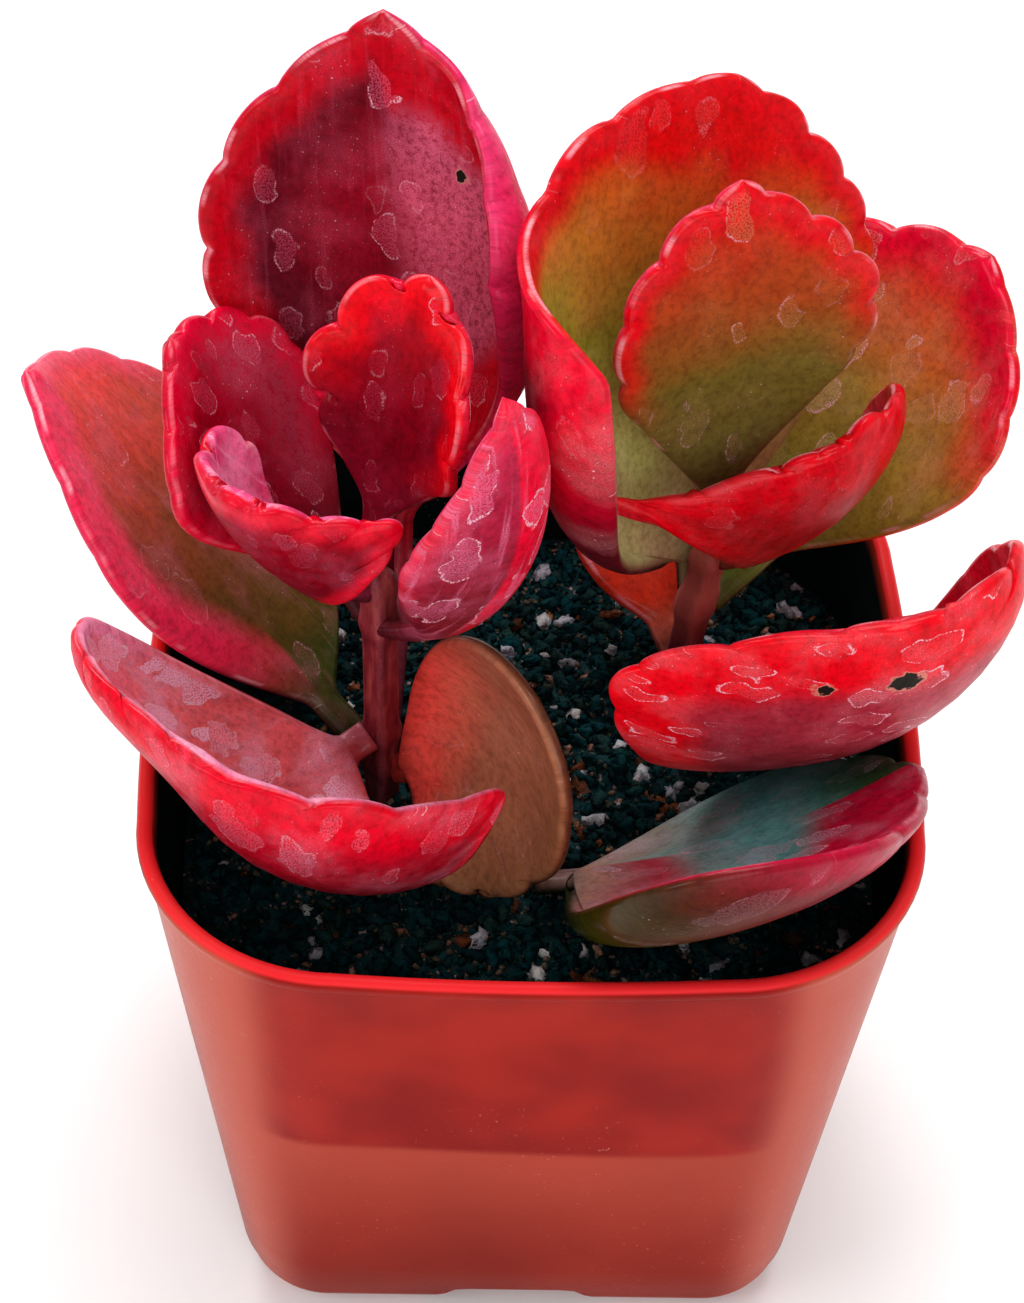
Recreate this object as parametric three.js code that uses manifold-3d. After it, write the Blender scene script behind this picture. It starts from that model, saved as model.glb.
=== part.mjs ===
// Potted kalanchoe longiflora: two small succulent plants in a square nursery pot.
// Units are millimetres, +Z is up. The origin is the centre of the pot's foot, on the surface it
// stands on, and the pot's front side faces -Y.
import * as THREE from 'three';
import { mergeVertices } from 'three/addons/utils/BufferGeometryUtils.js';
import Module from 'manifold-3d';

const wasm = await Module();
wasm.setup();

// Driving dimensions of the pot. Half widths are measured from the pot's axis to the outer wall.
const POT = {
  height: 51.8,
  halfTop: 27.6,
  halfFoot: 21.9,
  cornerTop: 14.2,
  cornerFoot: 6.8,
  bow: 0.45,
  footRound: 2.8,
  wall: 0.9,
  floor: 4.4,
  floorRound: 1.1,
  lipHeight: 1.3,
  lipOut: 0.35,
  lipRound: 0.35,
  archWidth: 17,
  archFlat: 7,
  archHeight: 3.4,
  archDepth: 3.5,
  drainRadius: 1.8,
  drainPlace: 10,
  color: 0xb2423a,
};

// The potting mix fills the pot to this height, and its grains stand up from there.
const SOIL = {
  top: 41.7,
  gap: 0.3,
  swell: 0.3,
  edgeDrop: 0.4,
  grains: 90,
  grainSmall: 0.8,
  grainLarge: 2.1,
  grainRise: 0.5,
  grainTallest: 0.75,
  holeSlack: 0.3,
  holeDepth: 9,
  rings: 17,
  color: 0x14201f,
};

// Each stem is four angled and a little thicker where leaves grow from it.
const STEM = {
  radius: 1.15,
  ridge: 0.1,
  nodeSwell: 0.22,
  nodeLength: 1.1,
  crown: 0.3,
  crownShare: 0.55,
  sides: 12,
  step: 1.4,
  clearance: 0.3,
  color: 0x5a2438,
};
const STEMS = {
  left: {
    path: [[-11, -2, 33], [-11, -2, 46], [-11, -2.4, 60.5], [-11.3, -2.6, 66]],
    nodes: [44.8, 48.5, 60.5, 64.5],
  },
  right: {
    path: [[11.5, 6.6, 33], [11.5, 6.6, 46], [12.2, 5.8, 54.5], [13, 5.4, 61]],
    nodes: [47.5, 54, 55.4, 59.9],
  },
};

// Thickness of every leaf, and how its stalk meets the stem.
const BLADE = {
  middle: 1.7,
  edge: 0.8,
  stalkHalf: 1.3,
  root: 1.1,
  ribSlant: 0.25,
  thinning: 1.5,
  lobeRound: 0.6,
  lobeGrow: 0.15,
  tipFrom: 0.88,
  foldFade: 0.1,
  outlineSteps: 400,
  spineSteps: 55,
  spineReach: 1.1,
};
const RIBS = {
  large: { along: 22, across: 4 },
  medium: { along: 20, across: 3 },
  small: { along: 16, across: 3 },
};

// The leaves. Lengths are in millimetres and angles in degrees. A leaf grows from its stem, or from
// a place in the soil, at a height. It heads along heading, rises by lift at its root and by
// lift + bend at its tip, sways to the left, and rolls and twists about its midrib. Pairs of values
// are for its left and right half, seen from above with the tip ahead: cup curves the half evenly,
// curl turns its edge, and lobes counts its round lobes past the share lobeFrom of its edge.
// Where a leaf has a foldTop, its left half curls only below that share of its length, and is wider
// there by the share flap.
const LEAVES = [
  // Tall leaf at the back of the left plant, its right edge folded forward.
  {
    name: 'leaf_left_tall', stem: 'left', height: 48.5, size: 'large', color: 0xb01238,
    length: 54, width: 32, skew: -0.15,
    stalk: 0.25, blunt: 1.1, wedge: 1.45,
    heading: 83, lift: 42, bend: 47,
    sway: 23, roll: 7, twist: -37,
    cup: [30, 49], curl: [16, 120],
    lobes: [5, 5], lobeDepth: 0.7, lobeFrom: 0.42,
  },
  // Outer leaf that leans over the pot's back left corner.
  {
    name: 'leaf_left_outer', stem: 'left', height: 44.8, size: 'large', color: 0x9a3a2e,
    length: 39, width: 26, skew: -0.25,
    stalk: 0.12, blunt: 0.8, wedge: 1.05,
    heading: 136, lift: 23, bend: 33,
    sway: 30, roll: 2, twist: 19,
    cup: [19, -11], curl: [-16, 18],
    lobes: [3, 4], lobeDepth: 0.5, lobeFrom: 0.5,
  },
  // Leaf on the left of the upper tier.
  {
    name: 'leaf_left_side', stem: 'left', height: 60.5, size: 'medium', color: 0xb8122e,
    length: 25, width: 19.5, skew: 0.1,
    stalk: 0.07, blunt: 0.8, wedge: 1.6,
    heading: 130, lift: 26, bend: 42,
    sway: 43, roll: 7, twist: -4,
    cup: [8, 40], curl: [3, -2],
    lobes: [3, 4], lobeDepth: 0.5, lobeFrom: 0.5,
  },
  // Upright centre leaf with deep round lobes.
  {
    name: 'leaf_left_heart', stem: 'left', height: 64.5, size: 'medium', color: 0xc01024,
    length: 23.5, width: 16, skew: -0.25,
    stalk: 0.16, blunt: 0.9, wedge: 1.35,
    heading: 89, lift: 77, bend: -8,
    sway: -60, roll: -28, twist: 47,
    cup: [85, 47], curl: [6, 2],
    lobes: [3, 3], lobeDepth: 1.4, lobeFrom: 0.32,
  },
  // Wide front leaf whose near edge curls up like a scoop.
  {
    name: 'leaf_left_scoop', stem: 'left', height: 48.5, size: 'large', color: 0xd0183c,
    length: 28, width: 41.5, skew: 0.15,
    stalk: 0.06, blunt: 0.5, wedge: 0.9,
    heading: -148, lift: -19, bend: 113,
    sway: 60, roll: -17, twist: -27,
    cup: [94, -20], curl: [-1, 74],
    lobes: [5, 4], lobeDepth: 0.55, lobeFrom: 0.45,
  },
  // Folded leaf on the right of the upper tier, seen from outside.
  {
    name: 'leaf_left_inner', stem: 'left', height: 60.5, size: 'medium', color: 0xd0142e,
    length: 33.5, width: 15.5, skew: 0.15,
    stalk: 0.13, blunt: 1.1, wedge: 1.1,
    heading: -49, lift: 34, bend: 72,
    sway: 12, roll: -38, twist: 29,
    cup: [112, 18], curl: [55, 22],
    lobes: [4, 4], lobeDepth: 0.4, lobeFrom: 0.45,
  },
  // Old orange leaf that droops to the soil.
  {
    name: 'leaf_left_orange', stem: 'left', height: 44.8, size: 'medium', color: 0xb0543a,
    length: 16, width: 24, skew: 0.4,
    stalk: 0.07, blunt: 0.65, wedge: 0.9,
    heading: -28, lift: 35, bend: -70,
    sway: -60, roll: 69, twist: -24,
    cup: [38, 108], curl: [10, 62],
    lobes: [2, 3], lobeDepth: 0.5, lobeFrom: 0.5,
  },
  // Small front leaf with toothed end.
  {
    name: 'leaf_left_small', stem: 'left', height: 64.5, size: 'small', color: 0xd81a38,
    length: 17, width: 20, skew: 0.05,
    stalk: 0.13, blunt: 0.7, wedge: 1.3,
    heading: -152, lift: 27, bend: 57,
    sway: 6, roll: 0, twist: 22,
    cup: [63, 82], curl: [1, 14],
    lobes: [4, 3], lobeDepth: 1.15, lobeFrom: 0.4,
  },
  // Tall back leaf, its left half folded over towards the front.
  {
    name: 'leaf_right_tall', stem: 'right', height: 55.4, size: 'large', color: 0xc03a20,
    length: 39, width: 34, skew: 0.1,
    stalk: 0.06, blunt: 0.75, wedge: 0.9,
    heading: 113, lift: 75, bend: -14,
    sway: -51, roll: 20, twist: 27,
    cup: [25, -3], curl: [106, 0],
    lobes: [5, 5], lobeDepth: 0.7, lobeFrom: 0.45,
    foldTop: 0.66, flap: 0.45,
  },
  // Broad leaf that leans over the pot's back right corner.
  {
    name: 'leaf_right_outer', stem: 'right', height: 54, size: 'large', color: 0xb04428,
    length: 34.5, width: 27.5, skew: 0.15,
    stalk: 0.14, blunt: 0.9, wedge: 1.4,
    heading: 42, lift: 11, bend: 60,
    sway: -14, roll: 15, twist: -15,
    cup: [26, 37], curl: [10, 11],
    lobes: [4, 4], lobeDepth: 0.6, lobeFrom: 0.45,
  },
  // Upright centre leaf with a pointed tip.
  {
    name: 'leaf_right_heart', stem: 'right', height: 59.9, size: 'medium', color: 0xb83022,
    length: 32.5, width: 19.5, skew: -0.05,
    stalk: 0.06, blunt: 1.05, wedge: 1.8,
    heading: 89, lift: 91, bend: -7,
    sway: 10, roll: 28, twist: -15,
    cup: [11, 34], curl: [2, -20],
    lobes: [4, 5], lobeDepth: 0.9, lobeFrom: 0.4,
  },
  // Small front leaf, curled up.
  {
    name: 'leaf_right_small', stem: 'right', height: 59.5, size: 'medium', color: 0xdc141e,
    length: 15, width: 30.5, skew: -0.05,
    stalk: 0.09, blunt: 0.55, wedge: 0.9,
    heading: -14, lift: 28, bend: 74,
    sway: -12, roll: -39, twist: -1,
    cup: [64, 33], curl: [32, 0],
    lobes: [4, 3], lobeDepth: 0.8, lobeFrom: 0.4,
  },
  // Wide front leaf, curled up and shown from outside.
  {
    name: 'leaf_right_scoop', stem: 'right', height: 47.5, size: 'large', color: 0xd81424,
    length: 38, width: 37, skew: 0,
    stalk: 0.06, blunt: 0.35, wedge: 0.95,
    heading: -60, lift: -1, bend: 100,
    sway: 4, roll: -1, twist: -21,
    cup: [68, 30], curl: [50, 6],
    lobes: [4, 4], lobeDepth: 0.75, lobeFrom: 0.4,
  },
  // Low leaf that rises from the soil and crosses the pot's rim.
  {
    name: 'leaf_low_front', place: [0.9, -12.4], height: 43.6, size: 'medium', color: 0x5a5a3c,
    length: 29.5, width: 37, skew: -0.4,
    stalk: 0.1, blunt: 0.9, wedge: 0.9,
    heading: -13, lift: 22, bend: 1,
    sway: 34, roll: -25, twist: -3,
    cup: [-12, 13], curl: [13, 59],
    lobes: [3, 3], lobeDepth: 0.5, lobeFrom: 0.5,
  },
  // Short orange leaf behind the right stem.
  {
    name: 'leaf_right_orange', stem: 'right', height: 47.5, size: 'small', color: 0xc8503c,
    length: 12.5, width: 9.5, skew: 0,
    stalk: 0.12, blunt: 0.6, wedge: 1.2,
    heading: 115, lift: 25, bend: 0,
    sway: 0, roll: 0, twist: 0,
    cup: [35, 35], curl: [0, 0],
    lobes: [1, 1], lobeDepth: 0.3, lobeFrom: 0.5,
  },
];

const rad = THREE.MathUtils.degToRad;

// A fixed pseudo-random number between 0 and 1 for a pair of whole numbers.
function chance(a, b) {
  const v = Math.sin(a * 12.9898 + b * 78.233) * 43758.5453;
  return v - Math.floor(v);
}

function toSolid(geometry) {
  const vertProperties = new Float32Array(geometry.attributes.position.array);
  const triVerts = new Uint32Array(geometry.index.array);
  return new wasm.Manifold(new wasm.Mesh({ numProp: 3, vertProperties, triVerts }));
}

function toGeometry(solid) {
  const mesh = solid.getMesh();
  const positions = new Float32Array(mesh.vertProperties);
  const geometry = new THREE.BufferGeometry();
  geometry.setAttribute('position', new THREE.BufferAttribute(positions, 3));
  geometry.setIndex(new THREE.BufferAttribute(new Uint32Array(mesh.triVerts), 1));
  geometry.computeVertexNormals();
  return geometry;
}

// Closes a stack of rings of points into one body, with a fan at each end.
function loft(rings, firstCentre, lastCentre) {
  const count = rings[0].length;
  const points = [firstCentre, ...rings.flat(), lastCentre];
  const index = [];
  const at = (ring, i) => 1 + ring * count + (i % count);
  for (let i = 0; i < count; i++) {
    index.push(0, at(0, i + 1), at(0, i));
    index.push(points.length - 1, at(rings.length - 1, i), at(rings.length - 1, i + 1));
    for (let r = 0; r + 1 < rings.length; r++) {
      index.push(at(r, i), at(r, i + 1), at(r + 1, i + 1));
      index.push(at(r, i), at(r + 1, i + 1), at(r + 1, i));
    }
  }
  const geometry = new THREE.BufferGeometry();
  geometry.setAttribute('position', new THREE.Float32BufferAttribute(points.flat(), 3));
  geometry.setIndex(index);
  return geometry;
}

// A square with round corners and slightly bowed sides, as a ring of points at height z.
function squareRing(half, corner, bow, z) {
  const arcSteps = 7;
  const sideSteps = 6;
  const ring = [];
  const straight = half - corner;
  for (let side = 0; side < 4; side++) {
    const turn = side * Math.PI / 2;
    for (let i = 0; i < sideSteps; i++) {
      const t = -1 + 2 * i / sideSteps;
      ring.push(turned(half + bow * (1 - t * t), straight * t, turn, z));
    }
    for (let i = 0; i < arcSteps; i++) {
      const a = Math.PI / 2 * i / arcSteps;
      ring.push(turned(straight + corner * Math.cos(a), straight + corner * Math.sin(a), turn, z));
    }
  }
  return ring;
}

function turned(x, y, turn, z) {
  return [x * Math.cos(turn) - y * Math.sin(turn), x * Math.sin(turn) + y * Math.cos(turn), z];
}

// The pot's outer wall at height z, moved in by an amount.
function wallRing(z, inward) {
  const t = z / POT.height;
  const half = POT.halfFoot + (POT.halfTop - POT.halfFoot) * t - inward;
  const corner = POT.cornerFoot + (POT.cornerTop - POT.cornerFoot) * t - inward;
  return squareRing(half, corner, POT.bow * t, z);
}

function potGeometry() {
  const rings = [];
  for (const degrees of [0, 30, 60, 90]) {
    const a = rad(degrees);
    const ring = wallRing(0, POT.footRound * (1 - Math.sin(a)));
    rings.push(ring.map(([x, y]) => [x, y, POT.footRound * (1 - Math.cos(a))]));
  }
  const lipFoot = POT.height - POT.lipHeight;
  const lipTop = POT.height - POT.lipRound;
  for (const share of [0.35, 0.7, 1]) {
    rings.push(wallRing((lipFoot - POT.lipOut) * share, 0));
  }
  rings.push(wallRing(lipFoot, -POT.lipOut));
  rings.push(wallRing(lipTop, -POT.lipOut));
  rings.push(wallRing(POT.height, POT.lipRound - POT.lipOut));
  rings.push(wallRing(POT.height, POT.wall - POT.lipRound));
  for (const z of [lipTop, lipFoot * 0.5, POT.floor + POT.floorRound]) {
    rings.push(wallRing(z, POT.wall));
  }
  rings.push(wallRing(POT.floor, POT.wall + POT.floorRound));
  let body = toSolid(loft(rings, [0, 0, 0], [0, 0, POT.floor]));
  for (let side = 0; side < 4; side++) {
    body = body.subtract(archCutter(side));
    body = body.subtract(drainCutter(side));
  }
  return toGeometry(body);
}

// The shallow arch under the foot of one side.
function archCutter(side) {
  const outer = POT.archWidth / 2;
  const inner = POT.archFlat / 2;
  const bend = (outer + inner) / 2;
  const below = -1;
  const beyond = 5;
  const shape = new THREE.Shape();
  shape.moveTo(-outer, below);
  shape.lineTo(outer, below);
  shape.lineTo(outer, 0);
  shape.bezierCurveTo(bend, 0, bend, POT.archHeight, inner, POT.archHeight);
  shape.lineTo(-inner, POT.archHeight);
  shape.bezierCurveTo(-bend, POT.archHeight, -bend, 0, -outer, 0);
  const depth = POT.archDepth + beyond;
  const geometry = new THREE.ExtrudeGeometry(shape, { depth, bevelEnabled: false, curveSegments: 5 });
  geometry.rotateX(Math.PI / 2);
  geometry.translate(0, POT.archDepth - POT.halfFoot, 0);
  geometry.rotateZ(side * Math.PI / 2);
  return toSolid(merged(geometry));
}

function drainCutter(side) {
  const geometry = new THREE.CylinderGeometry(POT.drainRadius, POT.drainRadius, 3 * POT.floor, 14);
  geometry.rotateX(Math.PI / 2);
  const turn = side * Math.PI / 2;
  const [x, y] = turned(POT.drainPlace, POT.drainPlace, turn, 0);
  geometry.translate(x, y, 0);
  return toSolid(merged(geometry));
}

// Shared corners become one vertex each, which a solid needs.
function merged(geometry) {
  geometry.deleteAttribute('normal');
  geometry.deleteAttribute('uv');
  return mergeVertices(geometry, 1e-5);
}

// The grains that stand out of the potting mix, most of them small.
function grainList() {
  const grains = [];
  for (let i = 0; i < SOIL.grains; i++) {
    grains.push({
      x: (2 * chance(i, 1) - 1) * POT.halfTop,
      y: (2 * chance(i, 2) - 1) * POT.halfTop,
      size: SOIL.grainSmall + (SOIL.grainLarge - SOIL.grainSmall) * chance(i, 3) ** 3,
    });
  }
  return grains;
}

// Height of the potting mix at a place: long low swells with round grains raised from them.
function soilHeight(x, y, grains) {
  let rise = 0;
  for (const grain of grains) {
    const away = Math.hypot(x - grain.x, y - grain.y) / grain.size;
    if (away < 1) {
      rise = Math.max(rise, SOIL.grainRise * grain.size * Math.sqrt(1 - away * away));
    }
  }
  const swell = SOIL.swell * Math.sin(x * 0.45 + 1) * Math.sin(y * 0.38);
  return SOIL.top + swell + Math.min(rise, SOIL.grainTallest);
}

function soilGeometry() {
  const grains = grainList();
  const inward = POT.wall + SOIL.gap;
  const base = POT.floor + SOIL.gap;
  const round = POT.floorRound + SOIL.gap;
  const rings = [
    wallRing(base, inward + round),
    wallRing(base + round, inward),
    wallRing(SOIL.top - 2 * SOIL.swell - SOIL.edgeDrop, inward),
  ];
  const edge = wallRing(SOIL.top, inward);
  for (let r = 0; r < SOIL.rings; r++) {
    const part = (1 - r / SOIL.rings) ** 0.8;
    rings.push(edge.map(([x, y]) => {
      const px = x * part;
      const py = y * part;
      return [px, py, soilHeight(px, py, grains) - SOIL.edgeDrop * part ** 12];
    }));
  }
  let body = toSolid(loft(rings, [0, 0, base], [0, 0, soilHeight(0, 0, grains)]));
  for (const stem of Object.values(STEMS)) {
    body = body.subtract(stemHole(stem));
  }
  return toGeometry(body);
}

// The plain hole that a stem stands in.
function stemHole(stem) {
  const radius = STEM.radius * (1 + STEM.ridge) + SOIL.holeSlack;
  const top = SOIL.top + 4;
  const bottom = SOIL.top - SOIL.holeDepth;
  const geometry = new THREE.CylinderGeometry(radius, radius, top - bottom, STEM.sides);
  geometry.rotateX(Math.PI / 2);
  geometry.translate(stem.path[0][0], stem.path[0][1], (top + bottom) / 2);
  return toSolid(merged(geometry));
}

// The stem's centre at a height. Above or below its path it goes on from the path's end.
function stemCentre(stem, height) {
  const path = stem.path;
  for (let i = 0; i + 1 < path.length; i++) {
    if (height <= path[i + 1][2]) {
      const t = (height - path[i][2]) / (path[i + 1][2] - path[i][2]);
      return [0, 1, 2].map((k) => path[i][k] + (path[i + 1][k] - path[i][k]) * t);
    }
  }
  return path[path.length - 1];
}

// A stem, or the space around it when it is grown by extra on all sides.
function stemGeometry(stem, extra) {
  const first = stem.path[0];
  const last = stem.path[stem.path.length - 1];
  const bottom = first[2] - extra;
  const top = last[2] + extra;
  const count = Math.ceil((top - bottom) / STEM.step);
  const rings = [];
  for (let r = 0; r <= count; r++) {
    const z = bottom + (top - bottom) * r / count;
    const [cx, cy] = stemCentre(stem, z);
    const swell = stem.nodes.reduce((sum, at) => sum + Math.exp(-(((z - at) / STEM.nodeLength) ** 2)), 0);
    const share = r === count ? STEM.crownShare : 1;
    const ring = [];
    for (let i = 0; i < STEM.sides; i++) {
      const a = 2 * Math.PI * i / STEM.sides;
      const section = STEM.radius * (1 + STEM.ridge * Math.cos(4 * a)) * share;
      const radius = section + STEM.nodeSwell * Math.min(swell, 1) + extra;
      ring.push([cx + radius * Math.cos(a), cy + radius * Math.sin(a), z]);
    }
    rings.push(ring);
  }
  return loft(rings, [first[0], first[1], bottom], [last[0], last[1], top + STEM.crown]);
}

// Is 1 where the left half is folded, and fades to 0 past the fold's top, if the leaf has one.
function foldShare(leaf, x) {
  const top = leaf.foldTop ?? Infinity;
  return 1 - THREE.MathUtils.smoothstep(x / leaf.length, top - BLADE.foldFade, top + BLADE.foldFade);
}

// One edge of a leaf laid flat: distance along the midrib, distance from it and share of the edge.
function flatEdge(leaf, side) {
  const steps = BLADE.outlineSteps;
  const halfWidth = leaf.width / 2 * (1 + side * leaf.skew);
  const start = leaf.length * leaf.stalk;
  const peak = leaf.wedge / (leaf.wedge + leaf.blunt);
  const tallest = peak ** leaf.wedge * (1 - peak) ** leaf.blunt;
  const points = [{ x: 0, y: BLADE.stalkHalf }];
  for (let i = 0; i <= steps; i++) {
    const t = 1 - (1 - i / steps) ** 2;
    const x = start + (leaf.length - start) * t;
    const wider = side > 0 ? 1 + (leaf.flap ?? 0) * foldShare(leaf, x) : 1;
    const blade = halfWidth * wider * t ** leaf.wedge * (1 - t) ** leaf.blunt / tallest;
    const stalk = BLADE.stalkHalf * Math.sqrt(1 - t);
    points.push({ x, y: (blade ** 4 + stalk ** 4) ** 0.25 });
  }
  let run = 0;
  points.forEach((p, i) => {
    run += i > 0 ? Math.hypot(p.x - points[i - 1].x, p.y - points[i - 1].y) : 0;
    p.run = run;
  });
  points.forEach((p) => { p.run /= run; });
  return points;
}

// The point at a share of the edge's length.
function pointAt(points, share) {
  let i = 1;
  while (i < points.length - 1 && points[i].run < share) {
    i += 1;
  }
  const a = points[i - 1];
  const b = points[i];
  const t = THREE.MathUtils.clamp((share - a.run) / (b.run - a.run), 0, 1);
  return { x: a.x + (b.x - a.x) * t, y: a.y + (b.y - a.y) * t };
}

// The edge with its round lobes: smooth near the stalk, scalloped towards the tip.
function lobedEdge(leaf, side, seed, shares) {
  const smooth = flatEdge(leaf, side);
  const plain = shares.map((share) => pointAt(smooth, share));
  const count = leaf.lobes[side > 0 ? 0 : 1];
  const edge = plain.map((p, k) => {
    const before = plain[Math.max(k - 1, 0)];
    const after = plain[Math.min(k + 1, plain.length - 1)];
    const length = Math.hypot(after.x - before.x, after.y - before.y) || 1;
    const normal = { x: -(after.y - before.y) / length, y: (after.x - before.x) / length };
    const along = Math.max(shares[k] - leaf.lobeFrom, 0) / (1 - leaf.lobeFrom) * (count + 0.5);
    const grow = Math.min(Math.max(shares[k] - leaf.lobeFrom, 0) / BLADE.lobeGrow, 1);
    const lobe = Math.abs(Math.sin(Math.PI * along)) ** BLADE.lobeRound;
    const size = 0.6 + 0.8 * chance(Math.floor(along), seed + (side > 0 ? 0 : 50));
    const fade = 1 - THREE.MathUtils.smoothstep(shares[k], BLADE.tipFrom, 1);
    const out = leaf.lobeDepth * grow * fade * (lobe * size - 0.5);
    return { x: p.x + normal.x * out, y: Math.max(p.y + normal.y * out, 0) };
  });
  edge[edge.length - 1].y = 0;
  return { plain, edge };
}

// The midrib in space: a smooth arc, with the across and upward directions of the blade.
function spine(leaf, root) {
  const steps = BLADE.spineSteps;
  const stride = leaf.length * BLADE.spineReach / steps;
  const list = [];
  const position = new THREE.Vector3(...root);
  for (let i = 0; i <= steps; i++) {
    const q = BLADE.spineReach * i / steps;
    const lift = rad(leaf.lift + leaf.bend * q);
    const heading = rad(leaf.heading + leaf.sway * q);
    const level = new THREE.Vector3(Math.cos(heading), Math.sin(heading), 0);
    const ahead = level.clone().multiplyScalar(Math.cos(lift)).setZ(Math.sin(lift));
    const up = level.clone().multiplyScalar(-Math.sin(lift)).setZ(Math.cos(lift));
    if (i > 0) {
      position.addScaledVector(list[i - 1].ahead.clone().add(ahead), stride / 2);
    }
    list.push({ position: position.clone(), ahead, up });
  }
  return list;
}

// The midrib's place and directions at a distance from its root.
function spineAt(leaf, list, x) {
  const steps = list.length - 1;
  const share = THREE.MathUtils.clamp(x / leaf.length, 0, BLADE.spineReach);
  const place = share / BLADE.spineReach * steps;
  const i = Math.min(Math.floor(place), steps - 1);
  const t = place - i;
  const position = list[i].position.clone().lerp(list[i + 1].position, t);
  const ahead = list[i].ahead.clone().lerp(list[i + 1].ahead, t).normalize();
  const up = list[i].up.clone().lerp(list[i + 1].up, t);
  up.addScaledVector(ahead, -up.dot(ahead)).normalize();
  const across = up.clone().cross(ahead);
  const roll = rad(leaf.roll + leaf.twist * share);
  return {
    position,
    across: across.clone().multiplyScalar(Math.cos(roll)).addScaledVector(up, Math.sin(roll)),
    up: up.clone().multiplyScalar(Math.cos(roll)).addScaledVector(across, -Math.sin(roll)),
  };
}

// How far a half has come across and up at each column, where it is curved by cup and curl.
function halfCurve(cup, curl, relative, columns) {
  const fine = 8;
  const list = [{ across: 0, up: 0 }];
  let across = 0;
  let up = 0;
  const angle = (q) => rad(cup) * q * relative + rad(curl) * q ** 4 * Math.sqrt(relative);
  for (let i = 0; i < fine * columns; i++) {
    const middle = angle((i + 0.5) / (fine * columns));
    across += Math.cos(middle) / (fine * columns);
    up += Math.sin(middle) / (fine * columns);
    if ((i + 1) % fine === 0) {
      list.push({ across, up });
    }
  }
  return list;
}

// Shares of the edge where ribs end: few along the smooth part, more along the lobes.
function ribShares(leaf, along) {
  const plain = Math.round(along * 0.28);
  const shares = [];
  for (let k = 0; k <= along; k++) {
    const low = leaf.lobeFrom * k / plain;
    const high = leaf.lobeFrom + (1 - leaf.lobeFrom) * (k - plain) / (along - plain);
    shares.push(k < plain ? low : high);
  }
  return shares;
}

// The leaf's middle surface as rows of points from the midrib to each edge.
function leafRows(leaf, root, seed) {
  const { along, across } = RIBS[leaf.size];
  const shares = ribShares(leaf, along);
  const line = spine(leaf, root);
  return [1, -1].map((side) => {
    const half = side > 0 ? 0 : 1;
    const { plain, edge } = lobedEdge(leaf, side, seed, shares);
    const halfWidth = leaf.width / 2;
    let innermost = 0;
    return edge.map((tip, k) => {
      const last = k === edge.length - 1;
      innermost = last ? tip.x : Math.max(innermost, plain[k].x - BLADE.ribSlant * plain[k].y, 0);
      const curl = leaf.curl[half] * (side > 0 ? foldShare(leaf, plain[k].x) : 1);
      const curve = halfCurve(leaf.cup[half], curl, plain[k].y / halfWidth, across);
      return curve.map((c, j) => {
        const x = innermost + (tip.x - innermost) * j / across;
        const here = spineAt(leaf, line, x);
        here.position.addScaledVector(here.across, side * c.across * tip.y);
        return here.position.addScaledVector(here.up, c.up * tip.y);
      });
    });
  });
}

// A leaf: its middle surface thickened, thick along the midrib and thin at the edge.
function leafGeometry(leaf, root, seed) {
  const { along, across } = RIBS[leaf.size];
  const rows = leafRows(leaf, root, seed);
  const id = (half, k, j) => {
    if (j === 0 || k === along) {
      return k;
    }
    return along + 1 + half * along * across + k * across + j - 1;
  };
  const middle = [];
  const share = [];
  for (const half of [0, 1]) {
    for (let k = 0; k <= along; k++) {
      for (let j = 0; j <= across; j++) {
        middle[id(half, k, j)] = rows[half][k][j];
        share[id(half, k, j)] = k === along ? 1 : j / across;
      }
    }
  }
  for (let k = 0; k < along; k++) {
    middle[k] = rows[0][k][0].clone().lerp(rows[1][k][0], 0.5);
  }
  const faces = [];
  const face = (a, b, c) => {
    if (a !== b && b !== c && c !== a) {
      faces.push([a, b, c]);
    }
  };
  for (let k = 0; k < along; k++) {
    for (let j = 0; j < across; j++) {
      face(id(0, k, j), id(0, k + 1, j), id(0, k + 1, j + 1));
      face(id(0, k, j), id(0, k + 1, j + 1), id(0, k, j + 1));
      face(id(1, k, j), id(1, k + 1, j + 1), id(1, k + 1, j));
      face(id(1, k, j), id(1, k, j + 1), id(1, k + 1, j + 1));
    }
  }
  const points = thickened(middle, faces, share);
  const under = middle.length;
  const index = [];
  faces.forEach(([a, b, c]) => index.push(a, b, c, under + a, under + c, under + b));
  const rim = [];
  for (let j = across; j > 0; j--) {
    rim.push(id(0, 0, j));
  }
  for (let j = 0; j < across; j++) {
    rim.push(id(1, 0, j));
  }
  for (let k = 0; k < along; k++) {
    rim.push(id(1, k, across));
  }
  for (let k = along; k > 0; k--) {
    rim.push(id(0, k, across));
  }
  rim.forEach((a, i) => {
    const b = rim[(i + 1) % rim.length];
    index.push(b, a, under + a, b, under + a, under + b);
  });
  const geometry = new THREE.BufferGeometry();
  geometry.setAttribute('position', new THREE.Float32BufferAttribute(points, 3));
  geometry.setIndex(index);
  return geometry;
}

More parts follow.
